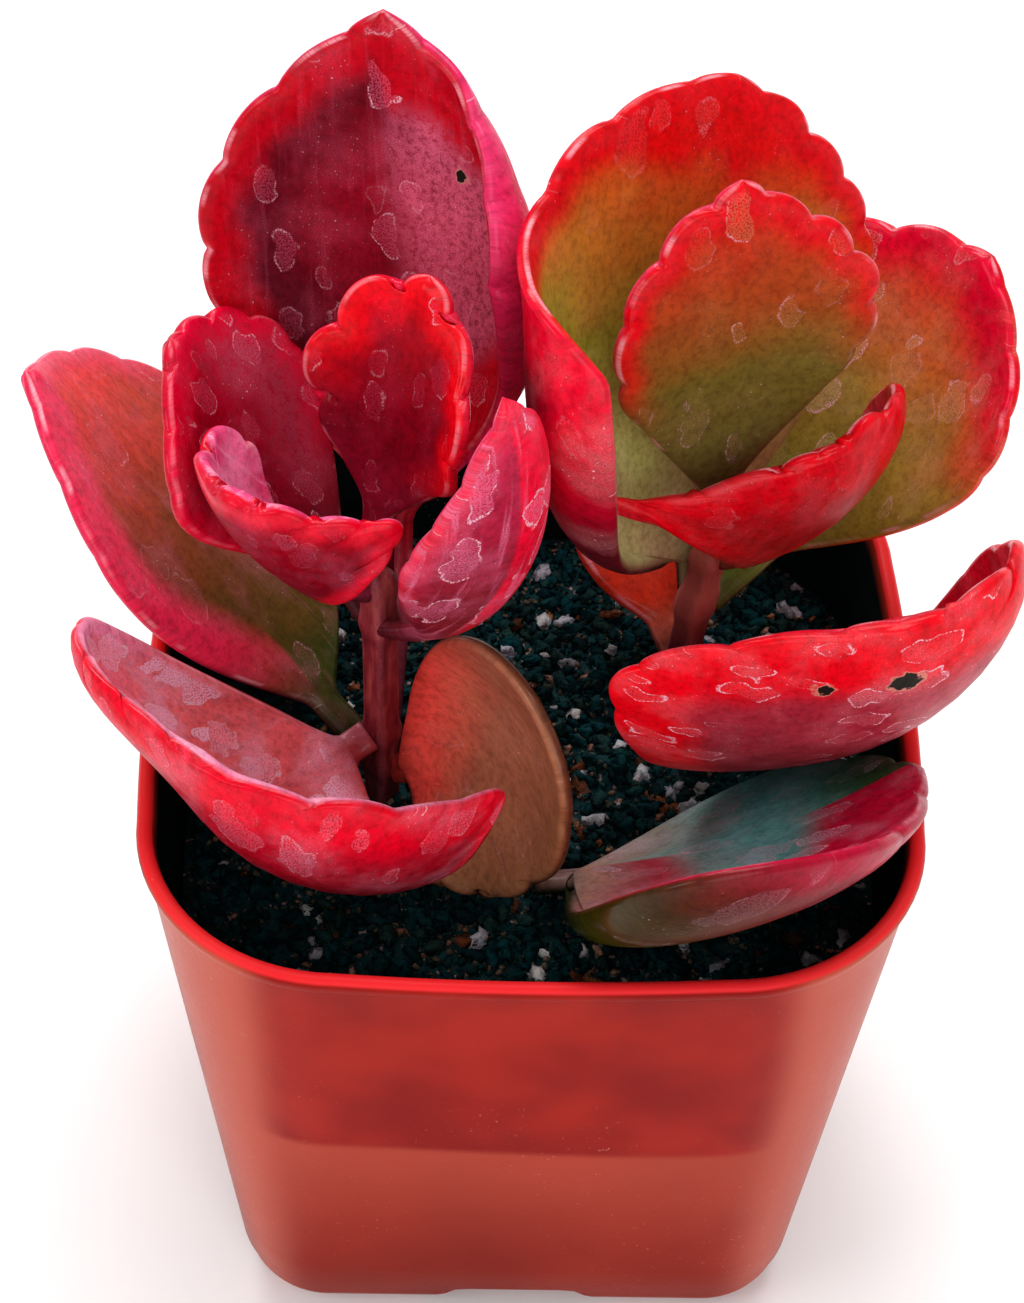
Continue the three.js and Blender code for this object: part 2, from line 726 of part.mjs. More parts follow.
// The upper points of a blade and then its lower ones, half its thickness from its middle surface.
function thickened(middle, faces, share) {
  const sheet = new THREE.BufferGeometry();
  sheet.setAttribute('position', new THREE.Float32BufferAttribute(middle.flatMap((p) => p.toArray()), 3));
  sheet.setIndex(faces.flat());
  sheet.computeVertexNormals();
  const normals = sheet.attributes.normal;
  const points = [];
  for (const way of [1, -1]) {
    middle.forEach((p, i) => {
      const thickness = BLADE.middle + (BLADE.edge - BLADE.middle) * share[i] ** BLADE.thinning;
      const normal = new THREE.Vector3().fromBufferAttribute(normals, i);
      points.push(...p.clone().addScaledVector(normal, way * thickness / 2).toArray());
    });
  }
  return points;
}

function leafRoot(leaf) {
  if (leaf.place) {
    return [...leaf.place, leaf.height];
  }
  const [x, y] = stemCentre(STEMS[leaf.stem], leaf.height);
  const heading = rad(leaf.heading);
  return [x + BLADE.root * Math.cos(heading), y + BLADE.root * Math.sin(heading), leaf.height];
}

// The leaf with its root cut to follow the stem, a clearance away from it.
function fittedLeaf(leaf, seed) {
  let body = toSolid(leafGeometry(leaf, leafRoot(leaf), seed));
  for (const stem of Object.values(STEMS)) {
    body = body.subtract(toSolid(stemGeometry(stem, STEM.clearance)));
  }
  const pieces = body.decompose().sort((a, b) => b.volume() - a.volume());
  return toGeometry(pieces[0]);
}

function add(group, name, geometry, color, roughness) {
  const material = new THREE.MeshStandardMaterial({ color, roughness, metalness: 0 });
  const mesh = new THREE.Mesh(geometry, material);
  mesh.name = name;
  group.add(mesh);
}

const plant = new THREE.Group();
add(plant, 'pot', potGeometry(), POT.color, 0.35);
add(plant, 'soil', soilGeometry(), SOIL.color, 0.95);
for (const [side, stem] of Object.entries(STEMS)) {
  add(plant, `stem_${side}`, stemGeometry(stem, 0), STEM.color, 0.5);
}
LEAVES.forEach((leaf, seed) => add(plant, leaf.name, fittedLeaf(leaf, seed + 1), leaf.color, 0.4));

export default plant;
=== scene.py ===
"""Looks of a potted kalanchoe longiflora: two small succulent plants in a square nursery pot.

Sizes are worked out in millimetres, as in the part's source, and turned into metres where a mesh is
made. The leaves follow the same rule as the solids do, with finer steps and round edges.
"""

from __future__ import annotations

import logging
import math
from dataclasses import dataclass
from enum import Enum
from typing import Any, Iterable, Sequence

import bmesh
import bpy
import numpy as np
from mathutils import Matrix, Vector

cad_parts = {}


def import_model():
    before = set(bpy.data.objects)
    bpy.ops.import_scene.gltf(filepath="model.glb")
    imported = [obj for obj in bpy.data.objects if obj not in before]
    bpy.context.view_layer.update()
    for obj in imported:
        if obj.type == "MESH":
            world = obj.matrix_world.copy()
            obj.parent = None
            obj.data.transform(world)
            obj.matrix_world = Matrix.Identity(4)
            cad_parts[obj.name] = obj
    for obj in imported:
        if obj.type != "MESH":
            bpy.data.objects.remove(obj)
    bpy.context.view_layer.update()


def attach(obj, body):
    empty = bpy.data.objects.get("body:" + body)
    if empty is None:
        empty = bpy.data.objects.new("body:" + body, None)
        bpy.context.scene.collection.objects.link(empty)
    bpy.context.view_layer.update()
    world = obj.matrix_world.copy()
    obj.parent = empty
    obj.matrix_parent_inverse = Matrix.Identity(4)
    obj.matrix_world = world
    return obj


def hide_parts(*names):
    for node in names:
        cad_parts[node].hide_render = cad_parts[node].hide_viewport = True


LOG = logging.getLogger("kalanchoe")
MM = 0.001
Colour = tuple[float, float, float]

# The curve between display colours and linear ones.
FULL = 255
KNEE = 0.04045
SLOPE = 12.92
SHIFT = 0.055
POWER = 2.4

# Numbers that turn a pair of numbers into a fixed draw.
DRAW = (12.9898, 78.233)
DRAW_SCALE = 43758.5453


def linear(colour: Colour) -> tuple[float, float, float, float]:
    """Turns a display colour of 0 to 255 into a linear one.

    Args:
        colour: Red, green and blue as a screen shows them.

    Returns:
        The linear colour with an alpha of 1.
    """
    shares = [value / FULL for value in colour]
    red, green, blue = (
        s / SLOPE if s <= KNEE else ((s + SHIFT) / (1 + SHIFT)) ** POWER for s in shares
    )
    return (red, green, blue, 1.0)


def chance(a: float, b: float) -> float:
    """Gives a fixed number between 0 and 1 for a pair of numbers."""
    value = math.sin(a * DRAW[0] + b * DRAW[1]) * DRAW_SCALE
    return value - math.floor(value)


class Wire:
    """A shader socket on which Python's operators add nodes."""

    def __init__(self, pen: "Pen", socket: bpy.types.NodeSocket) -> None:
        """Keeps the pen that adds nodes and the socket that they read."""
        self.pen = pen
        self.socket = socket

    def _math(self, operation: str, *values: "Wire | float", clamp: bool = False) -> "Wire":
        """Adds a Math node on these values."""
        settings = {"operation": operation, "use_clamp": clamp}
        return self.pen.add("ShaderNodeMath", settings, dict(enumerate(values)))

    def __add__(self, other: "Wire | float") -> "Wire":
        """Adds."""
        return self._math("ADD", self, other)

    __radd__ = __add__

    def __sub__(self, other: "Wire | float") -> "Wire":
        """Subtracts."""
        return self._math("SUBTRACT", self, other)

    def __rsub__(self, other: float) -> "Wire":
        """Subtracts this from a number."""
        return self._math("SUBTRACT", other, self)

    def __mul__(self, other: "Wire | float") -> "Wire":
        """Multiplies."""
        return self._math("MULTIPLY", self, other)

    __rmul__ = __mul__

    def __gt__(self, other: "Wire | float") -> "Wire":
        """Is 1 where this is greater, and 0 elsewhere."""
        return self._math("GREATER_THAN", self, other)

    def __and__(self, other: "Wire | float") -> "Wire":
        """Takes the smaller of two values."""
        return self._math("MINIMUM", self, other)

    def clamped(self) -> "Wire":
        """Keeps the value between 0 and 1."""
        return self._math("ADD", self, 0.0, clamp=True)

    def absolute(self) -> "Wire":
        """Drops the sign."""
        return self._math("ABSOLUTE", self)

    def _step(self, *values: "Wire | float") -> "Wire":
        """Adds a smooth step from these values: low, high, result at low, result at high."""
        settings = {"interpolation_type": "SMOOTHSTEP", "clamp": True}
        return self.pen.add("ShaderNodeMapRange", settings, dict(enumerate((self, *values))))

    def rise(self, low: "Wire | float", high: "Wire | float") -> "Wire":
        """Goes smoothly from 0 at low to 1 at high.

        Args:
            low: Value at which the result is 0.
            high: Value at which the result is 1.

        Returns:
            The smooth step.
        """
        return self._step(low, high, 0.0, 1.0)

    def fall(self, low: "Wire | float", high: "Wire | float") -> "Wire":
        """Goes smoothly from 1 at low to 0 at high."""
        return self._step(low, high, 1.0, 0.0)


class Pen:
    """Writes the nodes of one material."""

    def __init__(self, name: str) -> None:
        """Starts an empty material.

        Args:
            name: The material's name.
        """
        self.material = bpy.data.materials.new(name)
        self.material.use_nodes = True
        self.tree = self.material.node_tree
        self.tree.nodes.clear()

    def add(
        self,
        kind: str,
        settings: dict[str, Any] | None = None,
        sockets: dict[int | str, Any] | None = None,
        out: int | str = 0,
    ) -> Wire:
        """Adds one node.

        Args:
            kind: The node's type.
            settings: Properties that are set first. "stops" fills a colour ramp.
            sockets: Values or wires for the inputs, by place or name.
            out: The output that the result reads.

        Returns:
            A wire from that output.
        """
        node = self.tree.nodes.new(kind)
        for key, value in (settings or {}).items():
            if key == "stops":
                self._fill(node.color_ramp, value)
            else:
                setattr(node, key, value)
        for key, value in (sockets or {}).items():
            if isinstance(value, Wire):
                self.tree.links.new(value.socket, node.inputs[key])
            else:
                node.inputs[key].default_value = value
        return Wire(self, node.outputs[out])

    @staticmethod
    def _fill(ramp: bpy.types.ColorRamp, stops: Sequence[tuple[float, Sequence[float]]]) -> None:
        """Gives a colour ramp its stops.

        Args:
            ramp: The ramp.
            stops: Place and linear colour of each stop.
        """
        while len(ramp.elements) < len(stops):
            ramp.elements.new(0.5)
        for element, (place, colour) in zip(ramp.elements, stops):
            element.position = place
            element.color = colour

    def mix(self, share: Wire | float, first: Any, second: Any, blend: str = "MIX") -> Wire:
        """Mixes two colours.

        Args:
            share: 0 for the first colour and 1 for the second.
            first: A wire or a display colour of 0 to 255.
            second: A wire or a display colour of 0 to 255.
            blend: The Mix node's blend type.

        Returns:
            The mixed colour.
        """
        ends = [end if isinstance(end, Wire) else linear(end) for end in (first, second)]
        settings = {"data_type": "RGBA", "blend_type": blend, "clamp_factor": True}
        return self.add("ShaderNodeMix", settings, {0: share, 6: ends[0], 7: ends[1]}, out=2)

    def ramp(self, value: Wire, stops: Sequence[tuple[float, Colour]]) -> Wire:
        """Reads a smooth row of display colours."""
        filled = [(place, linear(colour)) for place, colour in stops]
        return self.add("ShaderNodeValToRGB", {"stops": filled}, {0: value})

    def attribute(self, name: str) -> Wire:
        """Reads a number that the mesh carries at its points."""
        return self.add("ShaderNodeAttribute", {"attribute_name": name}, out="Fac")

    def place(self) -> Wire:
        """Reads the object's own coordinates, in metres."""
        return self.add("ShaderNodeTexCoord", out="Object")

    def flat(self) -> Wire:
        """Reads the UV map, which holds the blade laid flat, in centimetres."""
        return self.add("ShaderNodeUVMap", {"uv_map": "flat"})

    def moved(self, vector: Wire, shift: Sequence[float], scale: Sequence[float]) -> Wire:
        """Scales and shifts coordinates."""
        return self.add("ShaderNodeMapping", None, {0: vector, 1: tuple(shift), 3: tuple(scale)})

    def noise(self, vector: Wire, scale: float, detail: float = 3, rough: float = 0.5) -> Wire:
        """Reads noise of about 0 to 1 at a number of lumps per unit."""
        sockets = {"Vector": vector, "Scale": scale, "Detail": detail, "Roughness": rough}
        return self.add("ShaderNodeTexNoise", {"noise_dimensions": "3D"}, sockets)

    def cells(self, vector: Wire, scale: float) -> tuple[Wire, Wire]:
        """Reads a Voronoi pattern in the plane of the flat blade.

        Args:
            vector: Coordinates on the blade.
            scale: Cells per unit.

        Returns:
            The distance to the nearest cell's centre, and that cell's colour.
        """
        settings = {"voronoi_dimensions": "2D", "feature": "F1"}
        sockets = {"Vector": vector, "Scale": scale}
        away = self.add("ShaderNodeTexVoronoi", settings, sockets, "Distance")
        return away, Wire(self, away.socket.node.outputs["Color"])

    def bump(self, height: Wire, distance: float, strength: float = 1.0) -> Wire:
        """Turns a height of 0 to 1 into a normal, with distance in metres."""
        sockets = {"Height": height, "Distance": distance, "Strength": strength}
        return self.add("ShaderNodeBump", None, sockets)

    def finish(self, sockets: dict[int | str, Any]) -> bpy.types.Material:
        """Adds the surface shader and the output.

        Args:
            sockets: Values or wires for the Principled shader.

        Returns:
            The finished material.
        """
        shader = self.add("ShaderNodeBsdfPrincipled", None, sockets)
        output = self.tree.nodes.new("ShaderNodeOutputMaterial")
        self.tree.links.new(shader.socket, output.inputs["Surface"])
        return self.material


def mesh_piece(
    name: str,
    points: np.ndarray,
    faces: Iterable[Sequence[int]],
    materials: Sequence[bpy.types.Material],
    smooth: bool = True,
) -> bpy.types.Object:
    """Makes a mesh object at the origin.

    Args:
        name: The piece's name.
        points: Places in millimetres.
        faces: Corner numbers of each face.
        materials: Materials of its slots.
        smooth: Whether faces are shaded smooth.

    Returns:
        The new object, linked to the scene.
    """
    mesh = bpy.data.meshes.new(name)
    mesh.from_pydata((np.asarray(points) * MM).tolist(), [], [list(f) for f in faces])
    mesh.validate()
    for material in materials:
        mesh.materials.append(material)
    mesh.polygons.foreach_set("use_smooth", [smooth] * len(mesh.polygons))
    piece = bpy.data.objects.new(name, mesh)
    bpy.context.scene.collection.objects.link(piece)
    return piece


def carry(mesh: bpy.types.Mesh, name: str, values: np.ndarray) -> None:
    """Stores one number for each point of a mesh."""
    layer = mesh.attributes.new(name, "FLOAT", "POINT")
    layer.data.foreach_set("value", np.asarray(values, np.float32).ravel())


def baked(piece: bpy.types.Object) -> bpy.types.Object:
    """Applies an object's modifiers, so that a plain mesh is left.

    Args:
        piece: The object, which is changed.

    Returns:
        The same object.
    """
    graph = bpy.context.evaluated_depsgraph_get()
    graph.update()
    mesh = bpy.data.meshes.new_from_object(piece.evaluated_get(graph), depsgraph=graph)
    piece.modifiers.clear()
    old = piece.data
    piece.data = mesh
    mesh.name = piece.name
    bpy.data.meshes.remove(old)
    return piece


def ring_faces(rows: int, count: int) -> list[list[int]]:
    """Lists the faces of a closed tube of rings.

    The two points that close the first and the last ring follow the rings' own points.

    Args:
        rows: Number of rings.
        count: Points in each ring.

    Returns:
        Quads between the rings and triangles at both ends.
    """
    faces: list[list[int]] = []
    for row in range(rows - 1):
        low, high = row * count, (row + 1) * count
        for i in range(count):
            j = (i + 1) % count
            faces.append([low + i, low + j, high + j, high + i])
    first_cap = rows * count
    last = first_cap - count
    for i in range(count):
        j = (i + 1) % count
        faces.append([first_cap, j, i])
        faces.append([first_cap + 1, last + i, last + j])
    return faces


@dataclass(frozen=True)
class StemForm:
    """One four angled stem, in millimetres.

    Attributes:
        name: Name of the node that the stem replaces.
        path: Places of its centre line, from the bottom up.
        nodes: Heights at which leaves grow and the stem is thicker.
        radius: Mean radius.
        ridge: Share of the radius that the four ridges stand out.
        swell: How much thicker the stem is at a node.
        swell_length: Length over which that fades.
        blush: Strength of the pale colour near the top.
    """

    name: str
    path: tuple[tuple[float, float, float], ...]
    nodes: tuple[float, ...]
    radius: float = 1.15
    ridge: float = 0.12
    swell: float = 0.3
    swell_length: float = 1.1
    blush: float = 0.0

    def centre(self, height: float) -> np.ndarray:
        """Gives the stem's centre at a height.

        Args:
            height: Height above the pot's foot.

        Returns:
            The centre as x, y and z.
        """
        x, y, z = np.array(self.path).T
        return np.array([np.interp(height, z, x), np.interp(height, z, y), height])


STEMS = {
    "left": StemForm(
        "stem_left",
        ((-11, -2, 33), (-11, -2, 46), (-11, -2.4, 60.5), (-11.3, -2.6, 66)),
        (44.8, 48.5, 60.5, 64.5),
    ),
    "right": StemForm(
        "stem_right",
        ((11.5, 6.6, 33), (11.5, 6.6, 46), (12.2, 5.8, 54.5), (13, 5.4, 61)),
        (47.5, 54, 55.4, 59.9),
        blush=0.6,
    ),
}


# Share of a leaf's length over which a fold opens.
FOLD_FADE = 0.2


@dataclass(frozen=True)
class LeafForm:
    """One leaf, with the same sizes as its solid: millimetres and degrees, left half first.

    Attributes:
        name: Name of the node that the leaf replaces.
        height: Height of its root above the pot's foot.
        length: Length of the midrib.
        width: Width of the widest place, laid flat.
        skew: Share by which the left half is wider than half the width.
        stalk: Share of the length that is stalk.
        blunt: Power of the outline at the tip.
        wedge: Power of the outline at the stalk.
        heading: Way that the root points, 0 to the right and 90 to the back.
        lift: Angle of the root above level.
        bend: How much that angle changes up to the tip.
        sway: How much the heading changes up to the tip.
        roll: Turn about the midrib at the root.
        twist: How much that turn changes up to the tip.
        cup: Turn of each half towards its edge.
        curl: Further turn close to each edge.
        lobes: Number of lobes on each half.
        lobe_depth: Depth of a middling lobe.
        lobe_from: Share of the edge at which the lobes start.
        stem: Key of the stem that the leaf grows from.
        place: Root as x and y, for a leaf that lies on the soil.
        middle: Thickness at the midrib.
        edge: Thickness at the edge.
        fold_top: Share of the length up to which the left half is folded.
        flap: Share by which the folded half is wider.
    """

    name: str
    height: float
    length: float
    width: float
    skew: float
    stalk: float
    blunt: float
    wedge: float
    heading: float
    lift: float
    bend: float
    sway: float
    roll: float
    twist: float
    cup: tuple[float, float]
    curl: tuple[float, float]
    lobes: tuple[int, int]
    lobe_depth: float
    lobe_from: float
    stem: str | None = None
    place: tuple[float, float] | None = None
    middle: float = 1.8
    edge: float = 1.0
    fold_top: float = math.inf
    flap: float = 0.0

    def fold_share(self, side: int, x: np.ndarray) -> np.ndarray:
        """Is 1 where the left half is folded, and fades to 0 past the fold's top.

        Args:
            side: 1 for the left half and -1 for the right.
            x: Distances along the midrib.

        Returns:
            Shares of the fold.
        """
        if side < 0 or math.isinf(self.fold_top):
            return np.ones_like(x)
        past = x / self.length - self.fold_top + FOLD_FADE / 2
        past = np.clip(past / FOLD_FADE, 0, 1)
        return 1 - past * past * (3 - 2 * past)


LEAVES = (
    LeafForm(
        "leaf_left_tall",
        height=48.5, length=54, width=32, skew=-0.15, stalk=0.25, blunt=1.1, wedge=1.45, heading=83,
        lift=42, bend=47, sway=23, roll=7, twist=-37, cup=(30, 49), curl=(16, 120), lobes=(5, 5),
        lobe_depth=0.7, lobe_from=0.42, stem="left",
    ),
    LeafForm(
        "leaf_left_outer",
        height=44.8, length=39, width=26, skew=-0.25, stalk=0.12, blunt=0.8, wedge=1.05,
        heading=136, lift=23, bend=33, sway=30, roll=2, twist=19, cup=(19, -11), curl=(-16, 18),
        lobes=(3, 4), lobe_depth=0.5, lobe_from=0.5, stem="left",
    ),
    LeafForm(
        "leaf_left_side",
        height=60.5, length=25, width=19.5, skew=0.1, stalk=0.07, blunt=0.8, wedge=1.6, heading=130,
        lift=26, bend=42, sway=43, roll=7, twist=-4, cup=(8, 40), curl=(3, -2), lobes=(3, 4),
        lobe_depth=0.5, lobe_from=0.5, stem="left",
    ),
    LeafForm(
        "leaf_left_heart",
        height=64.5, length=23.5, width=16, skew=-0.25, stalk=0.16, blunt=0.9, wedge=1.35,
        heading=89, lift=77, bend=-8, sway=-60, roll=-28, twist=47, cup=(85, 47), curl=(6, 2),
        lobes=(3, 3), lobe_depth=1.4, lobe_from=0.32, stem="left",
    ),
    LeafForm(
        "leaf_left_scoop",
        height=48.5, length=28, width=41.5, skew=0.15, stalk=0.06, blunt=0.5, wedge=0.9,
        heading=-148, lift=-19, bend=113, sway=60, roll=-17, twist=-27, cup=(94, -20),
        curl=(-1, 74), lobes=(5, 4), lobe_depth=0.55, lobe_from=0.45, stem="left",
    ),
    LeafForm(
        "leaf_left_inner",
        height=60.5, length=33.5, width=15.5, skew=0.15, stalk=0.13, blunt=1.1, wedge=1.1,
        heading=-49, lift=34, bend=72, sway=12, roll=-38, twist=29, cup=(112, 18), curl=(55, 22),
        lobes=(4, 4), lobe_depth=0.4, lobe_from=0.45, stem="left",
    ),
    LeafForm(
        "leaf_left_orange",
        height=44.8, length=16, width=24, skew=0.4, stalk=0.07, blunt=0.65, wedge=0.9, heading=-28,
        lift=35, bend=-70, sway=-60, roll=69, twist=-24, cup=(38, 108), curl=(10, 62), lobes=(2, 3),
        lobe_depth=0.5, lobe_from=0.5, stem="left",
    ),
    LeafForm(
        "leaf_left_small",
        height=64.5, length=17, width=20, skew=0.05, stalk=0.13, blunt=0.7, wedge=1.3, heading=-152,
        lift=27, bend=57, sway=6, roll=0, twist=22, cup=(63, 82), curl=(1, 14), lobes=(4, 3),
        lobe_depth=1.15, lobe_from=0.4, stem="left",
    ),
    LeafForm(
        "leaf_right_tall",
        height=55.4, length=39, width=34, skew=0.1, stalk=0.06, blunt=0.75, wedge=0.9, heading=113,
        lift=75, bend=-14, sway=-51, roll=20, twist=27, cup=(25, -3), curl=(106, 0), lobes=(5, 5),
        lobe_depth=0.7, lobe_from=0.45, stem="right", fold_top=0.66, flap=0.45,
    ),
    LeafForm(
        "leaf_right_outer",
        height=54, length=34.5, width=27.5, skew=0.15, stalk=0.14, blunt=0.9, wedge=1.4, heading=42,
        lift=11, bend=60, sway=-14, roll=15, twist=-15, cup=(26, 37), curl=(10, 11), lobes=(4, 4),
        lobe_depth=0.6, lobe_from=0.45, stem="right",
    ),
    LeafForm(
        "leaf_right_heart",
        height=59.9, length=32.5, width=19.5, skew=-0.05, stalk=0.06, blunt=1.05, wedge=1.8,
        heading=89, lift=91, bend=-7, sway=10, roll=28, twist=-15, cup=(11, 34), curl=(2, -20),
        lobes=(4, 5), lobe_depth=0.9, lobe_from=0.4, stem="right",
    ),
    LeafForm(
        "leaf_right_small",
        height=59.5, length=15, width=30.5, skew=-0.05, stalk=0.09, blunt=0.55, wedge=0.9,
        heading=-14, lift=28, bend=74, sway=-12, roll=-39, twist=-1, cup=(64, 33), curl=(32, 0),
        lobes=(4, 3), lobe_depth=0.8, lobe_from=0.4, stem="right",
    ),
    LeafForm(
        "leaf_right_scoop",
        height=47.5, length=38, width=37, skew=0, stalk=0.06, blunt=0.35, wedge=0.95, heading=-60,
        lift=-1, bend=100, sway=4, roll=-1, twist=-21, cup=(68, 30), curl=(50, 6), lobes=(4, 4),
        lobe_depth=0.75, lobe_from=0.4, stem="right",
    ),
    LeafForm(
        "leaf_low_front",
        height=43.6, length=29.5, width=37, skew=-0.4, stalk=0.1, blunt=0.9, wedge=0.9, heading=-13,
        lift=22, bend=1, sway=34, roll=-25, twist=-3, cup=(-12, 13), curl=(13, 59), lobes=(3, 3),
        lobe_depth=0.5, lobe_from=0.5, place=(0.9, -12.4),
    ),
    LeafForm(
        "leaf_right_orange",
        height=47.5, length=12.5, width=9.5, skew=0, stalk=0.12, blunt=0.6, wedge=1.2, heading=115,
        lift=25, bend=0, sway=0, roll=0, twist=0, cup=(35, 35), curl=(0, 0), lobes=(1, 1),
        lobe_depth=0.3, lobe_from=0.5, stem="right",
    ),
)


class LeafBlade:
    """Builds one leaf's mesh from its form. Lengths are in millimetres."""

    STALK_HALF = 1.3
    STALK_BLEND = 4
    ROOT = 1.1
    RIB_SLANT = 0.25
    SPINE_REACH = 1.1
    THINNING = 1.5
    STALK_ROUND = 0.11
    STALK_SHARE = 0.95

    LOBE_ROUND = 0.6
    LOBE_GROW = 0.15
    LOBE_REACH = 5
    SMALLEST_LOBE = 0.6
    LOBE_RANGE = 0.8
    TIP_FROM = 0.88
    SLOPE_STEP = 0.02
    SHORTEST_SLOPE = 1e-6
    RIGHT_SEED = 50

    EDGE_READS = 801
    SPINE_READS = 120
    CURL_READS = 96
    RIM_READS = 900
    ARC_STEPS = 5
    TIP_CROWDING = 1.25
    EDGE_CROWDING = 1.25
    ROUND_GROWTH = 0.9
    ROUND_LIMIT = 0.9
    NARROWEST = 1e-4
    TINY = 1e-9
    MM_PER_CM = 10

    def __init__(self, form: LeafForm, seed: int, along: int = 130, across: int = 12) -> None:
        """Keeps the form and the fineness.

        Args:
            form: The leaf's sizes.
            seed: Number that its lobes are drawn by.
            along: Steps along each edge.
            across: Steps from the midrib to an edge.
        """
        self.form = form
        self.seed = seed
        self.along = along
        self.across = across

    def root(self) -> np.ndarray:
        """Gives the place where the midrib starts.

        Returns:
            The place as x, y and z.
        """
        form = self.form
        if form.place:
            return np.array([*form.place, form.height])
        heading = math.radians(form.heading)
        start = STEMS[form.stem].centre(form.height)
        return start + self.ROOT * np.array([math.cos(heading), math.sin(heading), 0])

    def flat_edge(self, side: int, shares: np.ndarray) -> tuple[np.ndarray, np.ndarray]:
        """Lays one edge flat, without lobes.

        Args:
            side: 1 for the left half and -1 for the right.
            shares: Shares of the edge's length.

        Returns:
            Distances along and from the midrib at those shares.
        """
        form = self.form
        half = form.width / 2 * (1 + side * form.skew)
        start = form.length * form.stalk
        peak = form.wedge / (form.wedge + form.blunt)
        tallest = peak**form.wedge * (1 - peak) ** form.blunt
        t = 1 - (1 - np.linspace(0, 1, self.EDGE_READS)) ** 2
        reach = start + (form.length - start) * t
        wider = 1 + (form.flap * form.fold_share(side, reach) if side > 0 else 0)
        blade = half * wider * t**form.wedge * (1 - t) ** form.blunt / tallest
        stalk = self.STALK_HALF * np.sqrt(1 - t)
        x = np.concatenate([[0], reach])
        blend = self.STALK_BLEND
        y = np.concatenate([[self.STALK_HALF], (blade**blend + stalk**blend) ** (1 / blend)])
        run = np.concatenate([[0], np.cumsum(np.hypot(np.diff(x), np.diff(y)))])
        return np.interp(shares, run / run[-1], x), np.interp(shares, run / run[-1], y)

    def lobed_edge(self, side: int, shares: np.ndarray) -> tuple[np.ndarray, np.ndarray]:
        """Adds the round lobes to one flat edge.

        Args:
            side: 1 for the left half and -1 for the right.
            shares: Shares of the edge's length.

        Returns:
            Distances along and from the midrib at those shares.
        """
        form = self.form
        x, y = self.flat_edge(side, shares)
        ahead = self.flat_edge(side, np.minimum(shares + self.SLOPE_STEP, 1))
        behind = self.flat_edge(side, np.maximum(shares - self.SLOPE_STEP, 0))
        dx, dy = ahead[0] - behind[0], ahead[1] - behind[1]
        length = np.maximum(np.hypot(dx, dy), self.SHORTEST_SLOPE)
        count = form.lobes[0 if side > 0 else 1]
        past = np.maximum(shares - form.lobe_from, 0)
        place = past / (1 - form.lobe_from) * (count + 0.5)
        seed = self.seed + (0 if side > 0 else self.RIGHT_SEED)
        draws = np.array([chance(math.floor(p), seed) for p in place])
        size = self.SMALLEST_LOBE + self.LOBE_RANGE * draws
        lobe = np.abs(np.sin(np.pi * place)) ** self.LOBE_ROUND
        tip = np.clip((shares - self.TIP_FROM) / (1 - self.TIP_FROM), 0, 1)
        fade = np.minimum(past / self.LOBE_GROW, 1) * (1 - tip * tip * (3 - 2 * tip))
        out = form.lobe_depth * fade * (lobe * size - 0.5)
        lobed_x = x - dy / length * out
        lobed_y = np.maximum(y + dx / length * out, 0)
        lobed_y[-1] = 0
        return lobed_x, lobed_y

    def spine(self, x: np.ndarray) -> tuple[np.ndarray, np.ndarray, np.ndarray]:
        """Places the midrib in space.

        Args:
            x: Distances from the root.

        Returns:
            Places, directions across to the left, and directions up, at those distances.
        """
        form = self.form
        q = np.linspace(0, self.SPINE_REACH, self.SPINE_READS)
        lift = np.radians(form.lift + form.bend * q)
        heading = np.radians(form.heading + form.sway * q)
        level = np.stack([np.cos(heading), np.sin(heading), np.zeros_like(q)], 1)
        rise = np.array([0, 0, 1.0])
        ahead = level * np.cos(lift)[:, None] + rise * np.sin(lift)[:, None]
        up = -level * np.sin(lift)[:, None] + rise * np.cos(lift)[:, None]
        steps = (ahead[1:] + ahead[:-1]) / 2 * form.length * (q[1] - q[0])
        centre = self.root() + np.concatenate([np.zeros((1, 3)), np.cumsum(steps, 0)])
        share = np.clip(x / form.length, 0, self.SPINE_REACH)

        def read(rows: np.ndarray) -> np.ndarray:
            """Reads rows of x, y and z at the wanted shares."""
            return np.stack([np.interp(share, q, column) for column in rows.T], -1)

        place, ahead, up = read(centre), read(ahead), read(up)
        ahead /= np.linalg.norm(ahead, axis=-1, keepdims=True)
        up -= (up * ahead).sum(-1, keepdims=True) * ahead
        up /= np.linalg.norm(up, axis=-1, keepdims=True)
        across = np.cross(up, ahead)
        roll = np.radians(form.roll + form.twist * share)[..., None]
        return (
            place,
            across * np.cos(roll) + up * np.sin(roll),
            up * np.cos(roll) - across * np.sin(roll),
        )

    def shares(self) -> np.ndarray:
        """Spreads the rows along the edge, closer together towards the tip."""
        t = np.linspace(0, 1, self.along + 1)
        return t * (self.TIP_CROWDING - (self.TIP_CROWDING - 1) * t)

